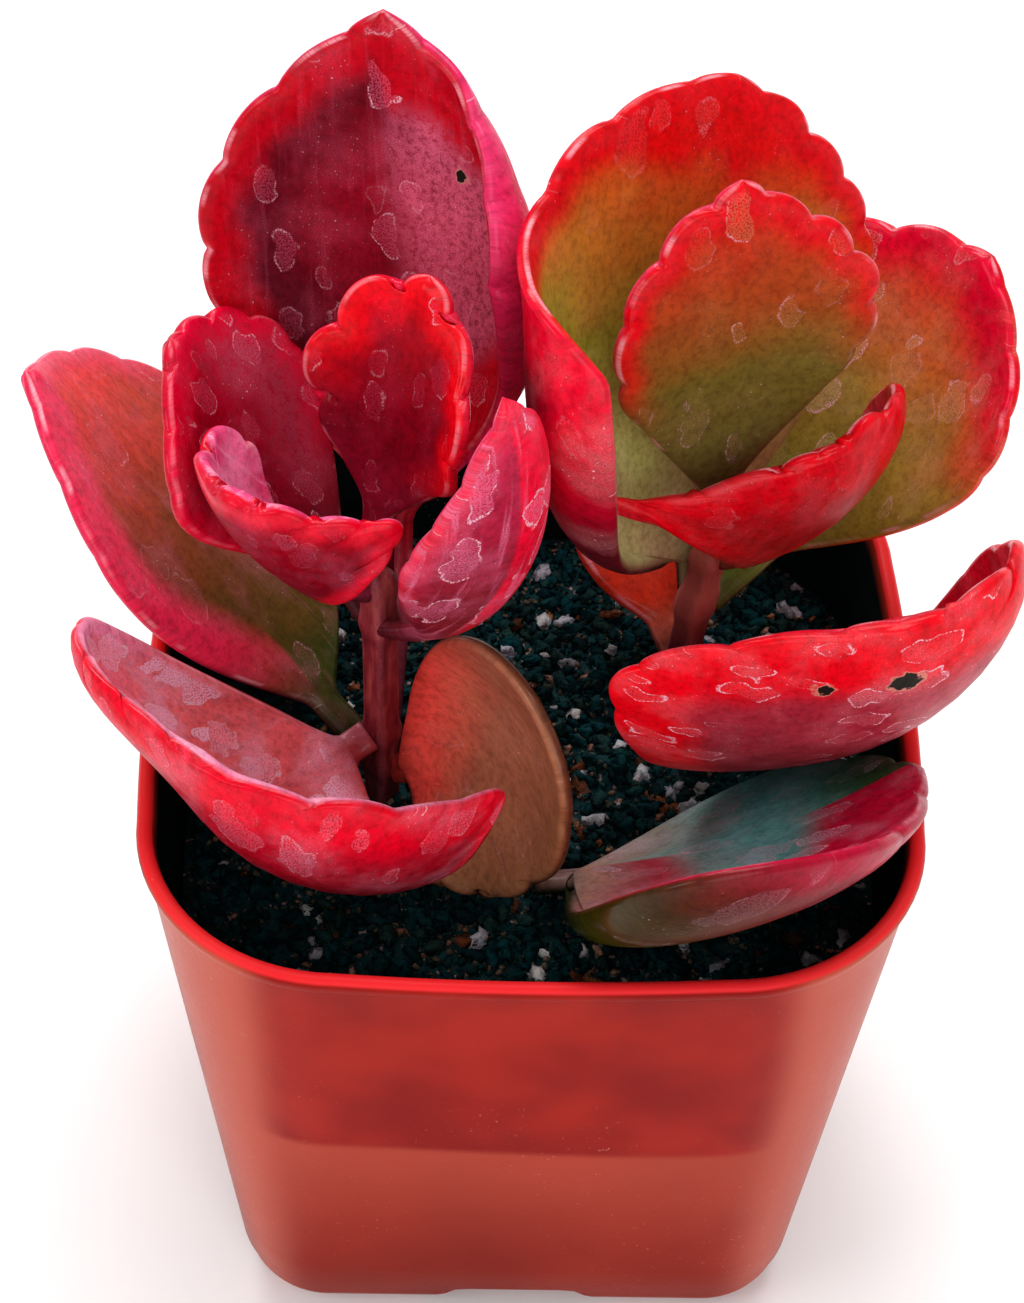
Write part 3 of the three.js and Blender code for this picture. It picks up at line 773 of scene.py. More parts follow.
    def bow(
        self, side: int, shares: np.ndarray, columns: np.ndarray
    ) -> tuple[np.ndarray, np.ndarray]:
        """Cups and curls one half, as seen along the midrib.

        Args:
            side: 1 for the left half and -1 for the right.
            shares: Shares of the edge's length, one for each row.
            columns: Shares from the midrib to the edge, one row of them for each share.

        Returns:
            Shares of each row's width that its places lie across and up.
        """
        form = self.form
        index = 0 if side > 0 else 1
        x, y = self.flat_edge(side, shares)
        relative = (y / (form.width / 2))[:, None]
        fine = self.CURL_READS
        middle = (np.arange(fine) + 0.5) / fine
        angle = math.radians(form.cup[index]) * middle * relative
        curl = math.radians(form.curl[index]) * form.fold_share(side, x)[:, None]
        angle = angle + curl * middle**4 * np.sqrt(relative)
        grid = np.linspace(0, 1, fine + 1)
        shapes = []
        for steps in (np.cos(angle), np.sin(angle)):
            runs = np.concatenate([np.zeros((len(shares), 1)), np.cumsum(steps, 1)], 1) / fine
            shapes.append(np.stack([np.interp(c, grid, row) for c, row in zip(columns, runs)]))
        return shapes[0], shapes[1]

    def half(
        self, side: int, shares: np.ndarray, columns: np.ndarray
    ) -> tuple[np.ndarray, np.ndarray]:
        """Places one half of the middle surface.

        Args:
            side: 1 for the left half and -1 for the right.
            shares: Shares of the edge's length, one for each row.
            columns: Shares from the midrib to the edge, one row of them for each share.

        Returns:
            Places in space, and places on the blade laid flat.
        """
        tip_x, tip_y = self.lobed_edge(side, shares)
        plain_x, plain_y = self.flat_edge(side, shares)
        inner = np.maximum.accumulate(np.maximum(plain_x - self.RIB_SLANT * plain_y, 0))
        inner[-1] = tip_x[-1]
        across, up = self.bow(side, shares, columns)
        outer = (columns / columns[:, -1:]) ** self.LOBE_REACH
        x = inner[:, None] + (plain_x - inner)[:, None] * columns
        x = x + (tip_x - plain_x)[:, None] * outer
        place, left, rise = self.spine(x)
        reach = (plain_y[:, None] + (tip_y - plain_y)[:, None] * outer)[..., None]
        points = place + side * across[..., None] * reach * left + up[..., None] * reach * rise
        return points, np.stack([x, side * columns * reach[..., 0]], -1)

    def rim_distance(self, flat: np.ndarray) -> np.ndarray:
        """Measures how far places on the flat blade are from its edge, in millimetres.

        Args:
            flat: Places as distances along and from the midrib.

        Returns:
            The distances.
        """
        shares = np.linspace(0, 1, self.RIM_READS)
        edges = []
        for side in (1, -1):
            x, y = self.lobed_edge(side, shares)
            edges.append(np.stack([x, side * y], -1))
        outline = np.concatenate(edges)
        spots = flat.reshape(-1, 2)
        nearest = [np.hypot(*(outline - spot).T).min() for spot in spots]
        return np.array(nearest).reshape(flat.shape[:-1])

    def sheet(
        self, shares: np.ndarray, edge: np.ndarray
    ) -> tuple[np.ndarray, np.ndarray, list[np.ndarray]]:
        """Places the middle surface of both halves, from the left edge to the right.

        Args:
            shares: Shares of the edge's length, one for each row.
            edge: The edge's thickness in each row.

        Returns:
            Places in space, places on the flat blade, and the radii of the left and right edge.
        """
        radius = edge / 2
        steps = 1 - (1 - np.linspace(0, 1, self.across + 1)) ** self.EDGE_CROWDING
        places, flats, radii = [], [], []
        for side in (1, -1):
            reach = np.maximum(self.lobed_edge(side, shares)[1], self.NARROWEST)
            small = radius * (1 - np.exp(-self.ROUND_GROWTH * reach / radius))
            columns = steps * (1 - np.minimum(small / reach, self.ROUND_LIMIT))[:, None]
            place, flat = self.half(side, shares, columns)
            places.append(place)
            flats.append(flat)
            radii.append(small)
        middle = (places[0][:, :1] + places[1][:, :1]) / 2
        joined = np.concatenate([places[0][:, :0:-1], middle, places[1][:, 1:]], 1)
        flat = np.concatenate([flats[0][:, :0:-1], flats[0][:, :1], flats[1][:, 1:]], 1)
        return joined, flat, radii

    def normals(self, places: np.ndarray) -> np.ndarray:
        """Gives the directions in which the middle surface faces up.

        Args:
            places: A grid of places in space.

        Returns:
            Directions out of the surface, one long.
        """
        normal = np.cross(np.gradient(places, axis=1), np.gradient(places, axis=0))
        length = np.linalg.norm(normal, axis=-1, keepdims=True)
        normal = normal / np.maximum(length, self.TINY)
        normal[-1] = normal[-2]
        return normal

    def half_thickness(self, edge: np.ndarray, radii: list[np.ndarray]) -> np.ndarray:
        """Gives half the blade's thickness at each place of the middle surface.

        Args:
            edge: The edge's thickness in each row.
            radii: Radii of the left and the right edge in each row.

        Returns:
            Half the thickness, row by row.
        """
        q = np.linspace(-1, 1, 2 * self.across + 1)
        middle = self.form.middle
        thick = middle + (edge[:, None] - middle) * np.abs(q) ** self.THINNING
        shrink = np.stack([radii[0], np.minimum(*radii), radii[1]]) / (edge / 2)
        shrink = np.stack([np.interp(q, [-1, 0, 1], row) for row in shrink.T])
        return thick * shrink / 2

    def round_edge(
        self,
        line: np.ndarray,
        inner: np.ndarray,
        normal: np.ndarray,
        radius: np.ndarray,
        turns: np.ndarray,
    ) -> np.ndarray:
        """Bends the surface round one edge.

        Args:
            line: Places of the edge in the middle surface.
            inner: Places next to the edge.
            normal: Directions up at the edge.
            radius: Radii of the edge.
            turns: Shares of the half turn from the upper face to the lower.

        Returns:
            Places, one column for each turn.
        """
        out = line - inner
        out -= (out * normal).sum(-1, keepdims=True) * normal
        out /= np.maximum(np.linalg.norm(out, axis=-1, keepdims=True), self.TINY)
        bends = []
        for turn in turns:
            lean = normal * math.cos(math.pi * turn) + out * math.sin(math.pi * turn)
            bends.append(line + radius[:, None] * lean)
        return np.stack(bends, 1)

    def make(self, material: bpy.types.Material) -> bpy.types.Object:
        """Builds the closed mesh with the numbers that its material reads.

        Args:
            material: The leaf's material.

        Returns:
            The leaf's object.
        """
        form = self.form
        shares = self.shares()
        arc = self.ARC_STEPS
        near = np.exp(-((self.flat_edge(1, shares)[0] / (self.STALK_ROUND * form.length)) ** 2))
        edge = form.edge + (form.middle * self.STALK_SHARE - form.edge) * near
        places, flat, radii = self.sheet(shares, edge)
        normal = self.normals(places)
        offset = normal * self.half_thickness(edge, radii)[..., None]
        turns = np.arange(1, arc + 1) / (arc + 1)
        left, right = places[:, 0], places[:, -1]
        rows = np.concatenate([
            places + offset,
            self.round_edge(right, places[:, -2], normal[:, -1], radii[1], turns),
            (places - offset)[:, ::-1],
            self.round_edge(left, places[:, 1], normal[:, 0], radii[0], 1 - turns),
        ], 1)[:-1]
        upper = np.zeros(places.shape[:2])
        down = np.tile(turns, (len(shares), 1))
        face = np.concatenate([upper, down, upper + 1, 1 - down], 1)[:-1]
        spread = np.concatenate([
            flat,
            np.repeat(flat[:, -1:], arc, 1),
            flat[:, ::-1],
            np.repeat(flat[:, :1], arc, 1),
        ], 1)[:-1]
        rim = self.rim_distance(flat)[:-1]
        blank = np.zeros((len(rim), arc))
        rim = np.concatenate([rim, blank, rim[:, ::-1], blank], 1)
        tip = places[-1, self.across]
        points = np.concatenate([rows.reshape(-1, 3), [rows[0].mean(0), tip]])
        faces = ring_faces(*rows.shape[:2])
        piece = mesh_piece(form.name, points, faces, [material])
        ends = np.array([[0.0, 0.0], [form.length, 0.0]])
        spots = np.concatenate([spread.reshape(-1, 2), ends])
        carry(piece.data, "face", np.concatenate([face.ravel(), [0.5, 0.5]]))
        carry(piece.data, "rim", np.concatenate([rim.ravel(), [1.0, 0.0]]))
        carry(piece.data, "along", spots[:, 0] / form.length)
        layer = piece.data.uv_layers.new(name="flat")
        corners = np.zeros(len(piece.data.loops), int)
        piece.data.loops.foreach_get("vertex_index", corners)
        flat_uv = (spots[corners] / self.MM_PER_CM).astype(np.float32)
        layer.data.foreach_set("uv", flat_uv.ravel())
        return piece


@dataclass(frozen=True)
class Face:
    """Colours and marks of one face of a leaf. Widths are in millimetres, shares from 0 to 1.

    Attributes:
        base: Colour next to the stalk.
        middle: Colour halfway.
        tip: Colour at the tip.
        margin: Colour of the band along the edge.
        band: Width of that band on the left and the right half.
        band_from: Share of the length at which the band starts on each half.
        soft: Width over which the band fades.
        stops: Shares of the length at which base, middle and tip are reached.
        inner: Colour of the zone far from the edge.
        inner_share: Strength of that zone.
        bloom: Strength of the pale wax.
        rings: Strength of the outlines of dried drops.
        fill: Strength of the drops' insides.
        streaks: Strength of the wax in streaks along the leaf.
        specks: Strength of the small pale dots.
    """

    base: Colour
    middle: Colour
    tip: Colour
    margin: Colour
    band: tuple[float, float] = (1.5, 1.5)
    band_from: tuple[float, float] = (0.1, 0.1)
    soft: float = 3.0
    stops: tuple[float, float, float] = (0.06, 0.45, 0.92)
    inner: Colour = (90, 20, 35)
    inner_share: float = 0.0
    bloom: float = 0.12
    rings: float = 0.5
    fill: float = 1.0
    streaks: float = 0.0
    specks: float = 0.3


@dataclass(frozen=True)
class LeafFinish:
    """The look of one leaf's two faces and its wax.

    Attributes:
        upper: The upper face.
        under: The lower face.
        wax: Colour of the wax and of the dried drops.
        ring_size: Distance between dried drops, in millimetres.
        ring_stretch: How much longer than wide the drops are.
        ring_share: Share of the places that hold a drop.
        rim_highlight: Strength of the painted highlight along the edge's crest, with some pale wax.
        sheen: Gloss near the edge.
        side_bloom: Strength of the wax on the right half.
        scars: Place along and across, and size, of each scab, in millimetres.
        scar_face: Face with the scabs, 0 for the upper one and 1 for the lower.
    """

    upper: Face
    under: Face
    wax: Colour = (214, 160, 182)
    ring_size: float = 4.2
    ring_stretch: float = 1.5
    ring_share: float = 0.5
    rim_highlight: float = 0.6
    sheen: float = 0.35
    side_bloom: float = 0.0
    scars: tuple[tuple[float, float, float], ...] = ()
    scar_face: int = 0


class LeafPaint:
    """Makes the material of one leaf.

    The flat coordinates are in centimetres, so a pattern's scale is its lumps per centimetre.
    """

    MOTTLE: Colour = (150, 110, 120)
    GRAIN: Colour = (150, 120, 120)
    # Colour of the painted shade towards the stalk, where the leaf meets the stem.
    AXIL_SHADE: Colour = (110, 56, 60)
    RING: Colour = (236, 186, 200)
    SPECK: Colour = (244, 214, 220)
    # Colour of the painted highlight along the edge's crest, with some pale wax.
    RIM_HIGHLIGHT: Colour = (246, 170, 182)
    SCAB: Colour = (40, 36, 32)
    SCAB_RIM: Colour = (210, 160, 140)
    RING_FILL = 0.42
    CREST = 0.28
    SEED_SHIFT = (3.1, 1.7)
    UNDER_SHIFT = 7.3
    SCAB_STRETCH = 1.4
    SCAB_FADE = 0.022
    # What a scab's size in millimetres is divided by for its rim and its dark part.
    RIM_PART = 12
    DARK_FROM = 15
    DARK_TO = 12.5
    BUMP = 0.0004

    def __init__(self, name: str, finish: LeafFinish, seed: int) -> None:
        """Starts the material.

        Args:
            name: The material's name.
            finish: The colours and marks.
            seed: Number that moves the patterns, so that no two leaves are marked alike.
        """
        self.finish = finish
        pen = Pen(name)
        self.pen = pen
        self.face = pen.attribute("face")
        self.side = self.face > 0.5
        self.rim = pen.attribute("rim")
        self.along = pen.attribute("along")
        flat = pen.flat()
        across = pen.add("ShaderNodeSeparateXYZ", None, {0: flat}, out=1)
        self.left = across.rise(-0.06, 0.06)
        along_shift = self.side * self.UNDER_SHIFT + seed * self.SEED_SHIFT[0]
        shift = pen.add(
            "ShaderNodeCombineXYZ", None, {0: along_shift, 1: seed * self.SEED_SHIFT[1]}
        )
        self.spot = pen.add("ShaderNodeVectorMath", {"operation": "ADD"}, {0: flat, 1: shift})
        self.wobble = pen.noise(self.spot, 1.6, 2) - 0.5
        self.right = (across + self.wobble * 0.7).fall(-0.5, 0.12)
        self.small = pen.noise(self.spot, 17, 2, 0.7)
        self.fine = pen.noise(self.spot, 90, 1, 0.7)

    def shared(self, upper: float, under: float) -> Wire | float:
        """Reads one number on the upper face and another on the lower.

        Args:
            upper: The upper face's number.
            under: The lower face's number.

        Returns:
            The number itself where both are the same, and otherwise a wire.
        """
        if upper == under:
            return upper
        return self.side * (under - upper) + upper

    def coloured(self, face: Face) -> Wire:
        """Paints the plain colours of one face.

        Args:
            face: The face's colours.

        Returns:
            The colour, without wax and marks.
        """
        pen = self.pen
        place = self.along + self.wobble * 0.22
        colour = pen.ramp(place, list(zip(face.stops, (face.base, face.middle, face.tip))))
        width = self.left * (face.band[0] - face.band[1]) + face.band[1]
        edge = self.rim + self.wobble * 1.6
        start = self.left * (face.band_from[0] - face.band_from[1]) + face.band_from[1]
        begun = (self.along + self.wobble * 0.1).rise(start, start + 0.3)
        band = edge.fall(width, width + face.soft) * begun
        if face.inner_share:
            zone = edge.fall(width + face.soft, width + face.soft * 3.2) * face.inner_share
            colour = pen.mix(zone * self.along.rise(0.1, 0.4), colour, face.inner)
        return pen.mix(band, colour, face.margin)

    def rings(self) -> tuple[Wire, Wire]:
        """Draws the marks of dried drops.

        Returns:
            Masks of the drops' thin outlines and of their insides.
        """
        pen, finish = self.pen, self.finish
        noise = {"noise_dimensions": "3D"}
        sockets = {"Vector": self.spot, "Scale": 5.5, "Detail": 1.0}
        bent = pen.add("ShaderNodeTexNoise", noise, sockets, out="Color")
        settings = {"operation": "MULTIPLY_ADD"}
        sockets = {0: bent, 1: (0.2, 0.2, 0), 2: self.spot}
        pull = pen.add("ShaderNodeVectorMath", settings, sockets)
        spread = pen.moved(pull, (0, 0, 0), (1 / finish.ring_stretch, 1, 1))
        away, draw = pen.cells(spread, LeafBlade.MM_PER_CM / finish.ring_size)
        large, other, strong = (
            pen.add("ShaderNodeSeparateColor", None, {0: draw}, out=k) for k in range(3)
        )
        strength = strong * 0.8 + 0.2
        radius = large * 0.24 + 0.14
        shown = other.fall(finish.ring_share, finish.ring_share + 0.02)
        line = (away - radius).absolute().fall(0.006, 0.03) * shown
        inside = away.fall(radius - 0.02, radius) * shown
        grit = pen.noise(self.spot, 70, 1).rise(0.36, 0.6)
        grit = grit * self.rim.rise(0.2, 0.9) * self.along.rise(0.1, 0.22) * strength
        gaps = pen.noise(self.spot, 6, 1).rise(0.4, 0.55)
        return line * grit * gaps, inside * grit

    def scars(self, colour: Wire, height: Wire) -> tuple[Wire, Wire]:
        """Adds dark scabs with a pale rim at the places that the finish names.

        Args:
            colour: The leaf's colour.
            height: The leaf's relief.

        Returns:
            The colour and the relief with the scabs.
        """
        pen, finish = self.pen, self.finish
        flat = pen.flat()
        for x, y, size in finish.scars:
            cm, wide = LeafBlade.MM_PER_CM, self.SCAB_STRETCH
            centred = pen.moved(flat, (-x / cm, -y / (cm * wide), 0), (1, 1 / wide, 1))
            length = {"operation": "LENGTH"}
            away = pen.add("ShaderNodeVectorMath", length, {0: centred}, out="Value")
            away = away + pen.noise(self.spot, 15, 3) * 0.14 - 0.07
            here = self.side if finish.scar_face else 1 - self.side
            edge = size / self.RIM_PART
            pale = away.fall(edge, edge + self.SCAB_FADE) * here
            dark = away.fall(size / self.DARK_FROM, size / self.DARK_TO) * here
            colour = pen.mix(pale * 0.6, colour, self.SCAB_RIM)
            colour = pen.mix(dark, colour, self.SCAB)
            height = height - dark * 0.8
        return colour, height

    def bloom(self, cloud: Wire) -> Wire:
        """Spreads the pale wax.

        Args:
            cloud: Soft patches in which the wax lies.

        Returns:
            A mask of the wax.
        """
        finish = self.finish
        upper, under = finish.upper, finish.under
        powder = self.fine.rise(0.35, 0.65) * 0.6 + 0.4
        bloom = cloud * powder * self.shared(upper.bloom, under.bloom)
        if finish.side_bloom:
            frost = self.small.rise(0.3, 0.6) * 0.5 + self.fine.rise(0.2, 0.7) * 0.5
            inward = self.rim.rise(upper.band[1] - 0.6, upper.band[1] + 2.4)
            bloom = bloom + self.right * (1 - self.side) * inward * frost * finish.side_bloom
        return bloom

    def make(self) -> bpy.types.Material:
        """Joins the faces, wax and marks, with painted shade at the stalk and a painted rim
        highlight, into the material.

        Returns:
            The material.
        """
        pen, finish = self.pen, self.finish
        upper, under = finish.upper, finish.under
        small, fine = self.small, self.fine
        colour = pen.mix(self.face.rise(0.3, 0.7), self.coloured(upper), self.coloured(under))
        mottle = pen.noise(self.spot, 5, 3, 0.6).rise(0.3, 0.75)
        colour = pen.mix(mottle * 0.28, colour, self.MOTTLE, "MULTIPLY")
        colour = pen.mix(small.rise(0.4, 0.7) * 0.34, colour, self.GRAIN, "MULTIPLY")
        line, inside = self.rings()
        rings = self.shared(upper.rings, under.rings)
        fill = self.shared(self.RING_FILL * upper.fill, self.RING_FILL * under.fill)
        colour = pen.mix(inside * rings * fill, colour, finish.wax)
        colour = pen.mix(line * rings, colour, self.RING)
        if upper.streaks or under.streaks:
            grain = pen.moved(self.spot, (0, 0, 0), (0.25, 3.0, 1))
            streak = pen.noise(grain, 4, 3, 0.6).rise(0.52, 0.72)
            streak = streak * self.shared(upper.streaks, under.streaks)
            colour = pen.mix(streak * fine.rise(0.3, 0.6), colour, finish.wax)
        cloud = pen.noise(self.spot, 2.1, 3, 0.6).rise(0.42, 0.75)
        bloom = self.bloom(cloud)
        colour = pen.mix(bloom, colour, finish.wax)
        speck = pen.noise(self.spot, 42, 1).rise(0.69, 0.76)
        speck = speck * self.shared(upper.specks, under.specks)
        colour = pen.mix(speck * cloud, colour, self.SPECK)
        # Painted shade: darker towards the stalk, where the leaf meets the stem.
        colour = pen.mix(self.along.fall(0.03, 0.18) * 0.6, colour, self.AXIL_SHADE, "MULTIPLY")
        # Painted highlight: a pale line along the edge's crest where back light catches the rim,
        # with some pale wax.
        crest = (self.face - self.CREST).absolute().fall(0.04, 0.2) * self.along.rise(0.1, 0.3)
        rim_glint = crest * pen.noise(self.spot, 3.5, 1).rise(0.45, 0.62) * finish.rim_highlight
        colour = pen.mix(rim_glint * (fine.rise(0.25, 0.6) * 0.6 + 0.4), colour, self.RIM_HIGHLIGHT)
        lumps = pen.noise(self.spot, 3.2, 1)
        height = lumps * 0.6 + small * 0.14 + fine * 0.07
        colour, height = self.scars(colour, height)
        gloss = self.rim.fall(0.2, 1.6) * (1 - bloom) * finish.sheen
        rough = bloom * 0.5 + line * 0.3 + inside * 0.15 + mottle * 0.08 + 0.3
        return pen.finish({
            "Base Color": colour,
            "Roughness": rough.clamped(),
            "Normal": pen.bump(height, self.BUMP, 0.6),
            "Specular IOR Level": 0.08,
            "Coat Weight": gloss.clamped(),
            "Coat Roughness": 0.16,
        })


RED: Colour = (230, 2, 16)

FINISHES = {
    "leaf_left_tall": LeafFinish(
        upper=Face(
            (170, 90, 110), (140, 32, 56), (176, 2, 38), (206, 0, 34), band=(1.5, 4.4),
            band_from=(0.1, 0.1), soft=2.6, inner=(62, 14, 34), inner_share=0.58, bloom=0.2,
            rings=1.0, streaks=0.15, specks=0.6,
        ),
        under=Face(
            (150, 40, 80), (216, 20, 80), (236, 14, 70), (244, 60, 120), bloom=0.5, rings=0.4,
            specks=0.8,
        ),
        wax=(240, 116, 148), side_bloom=0.9, ring_size=3.6, ring_share=0.62,
        scars=((42.3, -6.2, 0.5),),
    ),
    "leaf_left_outer": LeafFinish(
        upper=Face(
            (72, 84, 28), (156, 78, 46), (250, 52, 52), (250, 56, 100), band=(2.0, 0.0),
            band_from=(0.1, 0.6), soft=3.2, bloom=0.28, rings=0.5, specks=0.6, streaks=0.2,
            stops=(0.2, 0.6, 0.94),
        ),
        under=Face(
            (130, 40, 50), (200, 40, 70), (226, 40, 80), (236, 40, 90), bloom=0.4,
        ),
        wax=(226, 130, 156), rim_highlight=0.9,
    ),
    "leaf_left_side": LeafFinish(
        upper=Face(
            (96, 52, 54), (150, 14, 46), (190, 2, 46), (236, 4, 64), band=(0.9, 0.3),
            band_from=(0.2, 0.3), soft=3.0, bloom=0.28, rings=1.0, specks=0.8,
        ),
        under=Face(
            (90, 50, 40), (150, 30, 40), (200, 16, 50), (210, 10, 50),
        ),
        wax=(226, 116, 146), side_bloom=0.3, ring_size=3.2, ring_share=0.75, rim_highlight=0.3,
    ),
    "leaf_left_heart": LeafFinish(
        upper=Face(
            (150, 34, 66), (128, 6, 36), (186, 2, 28), (246, 2, 30), band=(0.9, 0.7),
            band_from=(0.5, 0.3), soft=2.6, bloom=0.16, rings=0.7,
        ),
        under=Face(
            (120, 20, 50), (170, 14, 50), (216, 20, 60), (232, 30, 70),
        ),
        wax=(216, 90, 126), ring_size=3.0, rim_highlight=0.4,
    ),
    "leaf_left_scoop": LeafFinish(
        upper=Face(
            (226, 104, 110), (250, 118, 124), (255, 120, 156), (250, 150, 186), band=(0.6, 0.6),
            band_from=(0.1, 0.3), soft=1.8, bloom=0.62, rings=5.0, streaks=0.25, specks=1.0,
        ),
        under=Face(
            (150, 50, 54), (160, 30, 44), (196, 16, 48), (236, 0, 44), band=(2.0, 2.4),
            band_from=(0.1, 0.1), soft=2.6, bloom=0.2, rings=0.5, specks=0.6,
        ),
        wax=(244, 190, 216), ring_size=3.6, ring_stretch=1.6, ring_share=0.95,
    ),
    "leaf_left_inner": LeafFinish(
        upper=Face(
            (150, 60, 70), (176, 56, 90), (210, 50, 90), (224, 50, 96), bloom=0.4,
        ),
        under=Face(
            (110, 26, 44), (150, 44, 62), (206, 44, 84), (252, 22, 66), band=(6.5, -1.0),
            band_from=(0.1, 0.3), soft=3.4, bloom=0.4, rings=1.8, fill=0.6, streaks=0.7, specks=0.9,
        ),
        wax=(240, 140, 176), ring_size=3.2, ring_stretch=2.2, ring_share=0.8,
    ),
    "leaf_left_orange": LeafFinish(
        upper=Face(
            (255, 104, 92), (186, 128, 98), (168, 118, 84), (216, 76, 54), band=(-2.0, -2.0),
            band_from=(0.3, 0.3), soft=2.4, bloom=0.14, rings=0.3, specks=0.7,
            stops=(0.26, 0.52, 0.9),
        ),
        under=Face(
            (150, 60, 40), (110, 70, 46), (110, 62, 40), (120, 50, 30), band=(-4.0, -4.0),
            bloom=0.1, rings=0.0,
        ),
        wax=(216, 150, 126), rim_highlight=0.0,
    ),
    "leaf_left_small": LeafFinish(
        upper=Face(
            (180, 60, 100), (250, 120, 166), (255, 160, 200), (246, 90, 146), band=(0.4, 0.4),
            band_from=(0.1, 0.1), soft=1.6, bloom=0.8, streaks=0.9, rings=0.5, specks=0.8,
        ),
        under=Face(
            (90, 16, 36), (116, 0, 24), (164, 2, 34), (232, 4, 48), band=(0.5, 0.6),
            band_from=(0.1, 0.1), soft=1.9, bloom=0.14, rings=0.2,
        ),
        wax=(246, 170, 206), ring_size=2.6,
    ),
    "leaf_right_tall": LeafFinish(
        upper=Face(
            (224, 222, 166), (172, 178, 68), (232, 6, 10), (234, 2, 26), band=(0.7, 0.9),
            band_from=(0.4, 0.45), soft=2.4, bloom=0.04, rings=0.25, specks=0.4,
            stops=(0.08, 0.56, 0.86),
        ),
        under=Face(
            (90, 20, 30), (140, 10, 44), (236, 12, 64), (244, 8, 58), band=(2.0, 2.0),
            band_from=(0.25, 0.3), soft=3.0, inner=(120, 12, 44), inner_share=0.4, bloom=0.36,
            specks=1.0, rings=0.7,
        ),
        wax=(220, 170, 170), rim_highlight=0.8,
    ),
    "leaf_right_outer": LeafFinish(
        upper=Face(
            (112, 132, 44), (172, 146, 66), (238, 40, 50), (234, 0, 58), band=(0.7, 1.9),
            band_from=(0.4, 0.5), soft=4.4, bloom=0.2, rings=0.9, specks=0.7,
            stops=(0.1, 0.54, 0.95),
        ),
        under=Face(
            (120, 90, 30), (160, 60, 50), (214, 30, 60), RED, bloom=0.3,
        ),
        wax=(214, 190, 164), ring_size=3.8, ring_share=0.85,
    ),
    "leaf_right_heart": LeafFinish(
        upper=Face(
            (126, 114, 72), (126, 112, 50), (222, 20, 20), (236, 2, 30), band=(0.5, 0.7),
            band_from=(0.4, 0.5), soft=2.2, bloom=0.1, rings=0.7, specks=0.5,
            stops=(0.08, 0.5, 0.96),
        ),
        under=Face(
            (120, 90, 60), (170, 50, 50), (224, 60, 90), (236, 70, 110),
        ),
        wax=(204, 166, 124), ring_size=3.6, ring_share=0.42, rim_highlight=0.8,
    ),
    "leaf_right_small": LeafFinish(
        upper=Face(
            (180, 120, 90), (200, 50, 50), (214, 30, 50), (230, 30, 60), bloom=0.3,
        ),
        under=Face(
            (196, 120, 90), (196, 44, 46), (224, 22, 46), (240, 4, 34), band=(2.4, 1.8),
            band_from=(0.1, 0.1), soft=3.0, bloom=0.3, rings=0.3, specks=0.6,
        ),
        wax=(236, 140, 150), rim_highlight=1.0,
    ),
    "leaf_right_scoop": LeafFinish(
        upper=Face(
            (160, 80, 70), (180, 60, 70), (210, 40, 70), (226, 24, 60), bloom=0.4,
        ),
        under=Face(
            (206, 110, 110), (146, 38, 58), (218, 92, 108), (244, 0, 32), band=(3.6, 3.6),
            band_from=(0.05, 0.05), soft=3.4, inner=(168, 14, 46), inner_share=0.6, bloom=0.34,
            rings=2.4, fill=0.3, specks=0.7,
        ),
        wax=(232, 150, 160), ring_size=6.0, ring_stretch=0.45, ring_share=0.8, rim_highlight=0.9,
        scars=((33.1, -4.9, 0.6), (33.1, 0.65, 1.0)), scar_face=1,
    ),
    "leaf_low_front": LeafFinish(
        upper=Face(
            (196, 160, 142), (124, 206, 204), (66, 104, 66), (214, 24, 76), band=(-4.0, 5.8),
            band_from=(0.1, 0.1), soft=3.4, bloom=0.4, rings=1.4, specks=0.8,
            stops=(0.16, 0.56, 0.88),
        ),
        under=Face(
            (40, 66, 0), (72, 44, 12), (156, 10, 48), (186, 4, 56), band=(0.2, 0.8),
            band_from=(0.5, 0.5), soft=2.4, bloom=0.0, rings=0.25, specks=0.3,
        ),
        wax=(206, 186, 206), ring_size=3.0, ring_stretch=2.4, ring_share=0.8, rim_highlight=0.4,
    ),
    "leaf_right_orange": LeafFinish(
        upper=Face(
            (180, 100, 76), (216, 86, 60), (222, 76, 50), (206, 60, 36), bloom=0.1, rings=0.0,
        ),
        under=Face(
            (180, 100, 76), (216, 86, 60), (222, 76, 50), (206, 60, 36), bloom=0.1, rings=0.0,
        ),
    ),
}


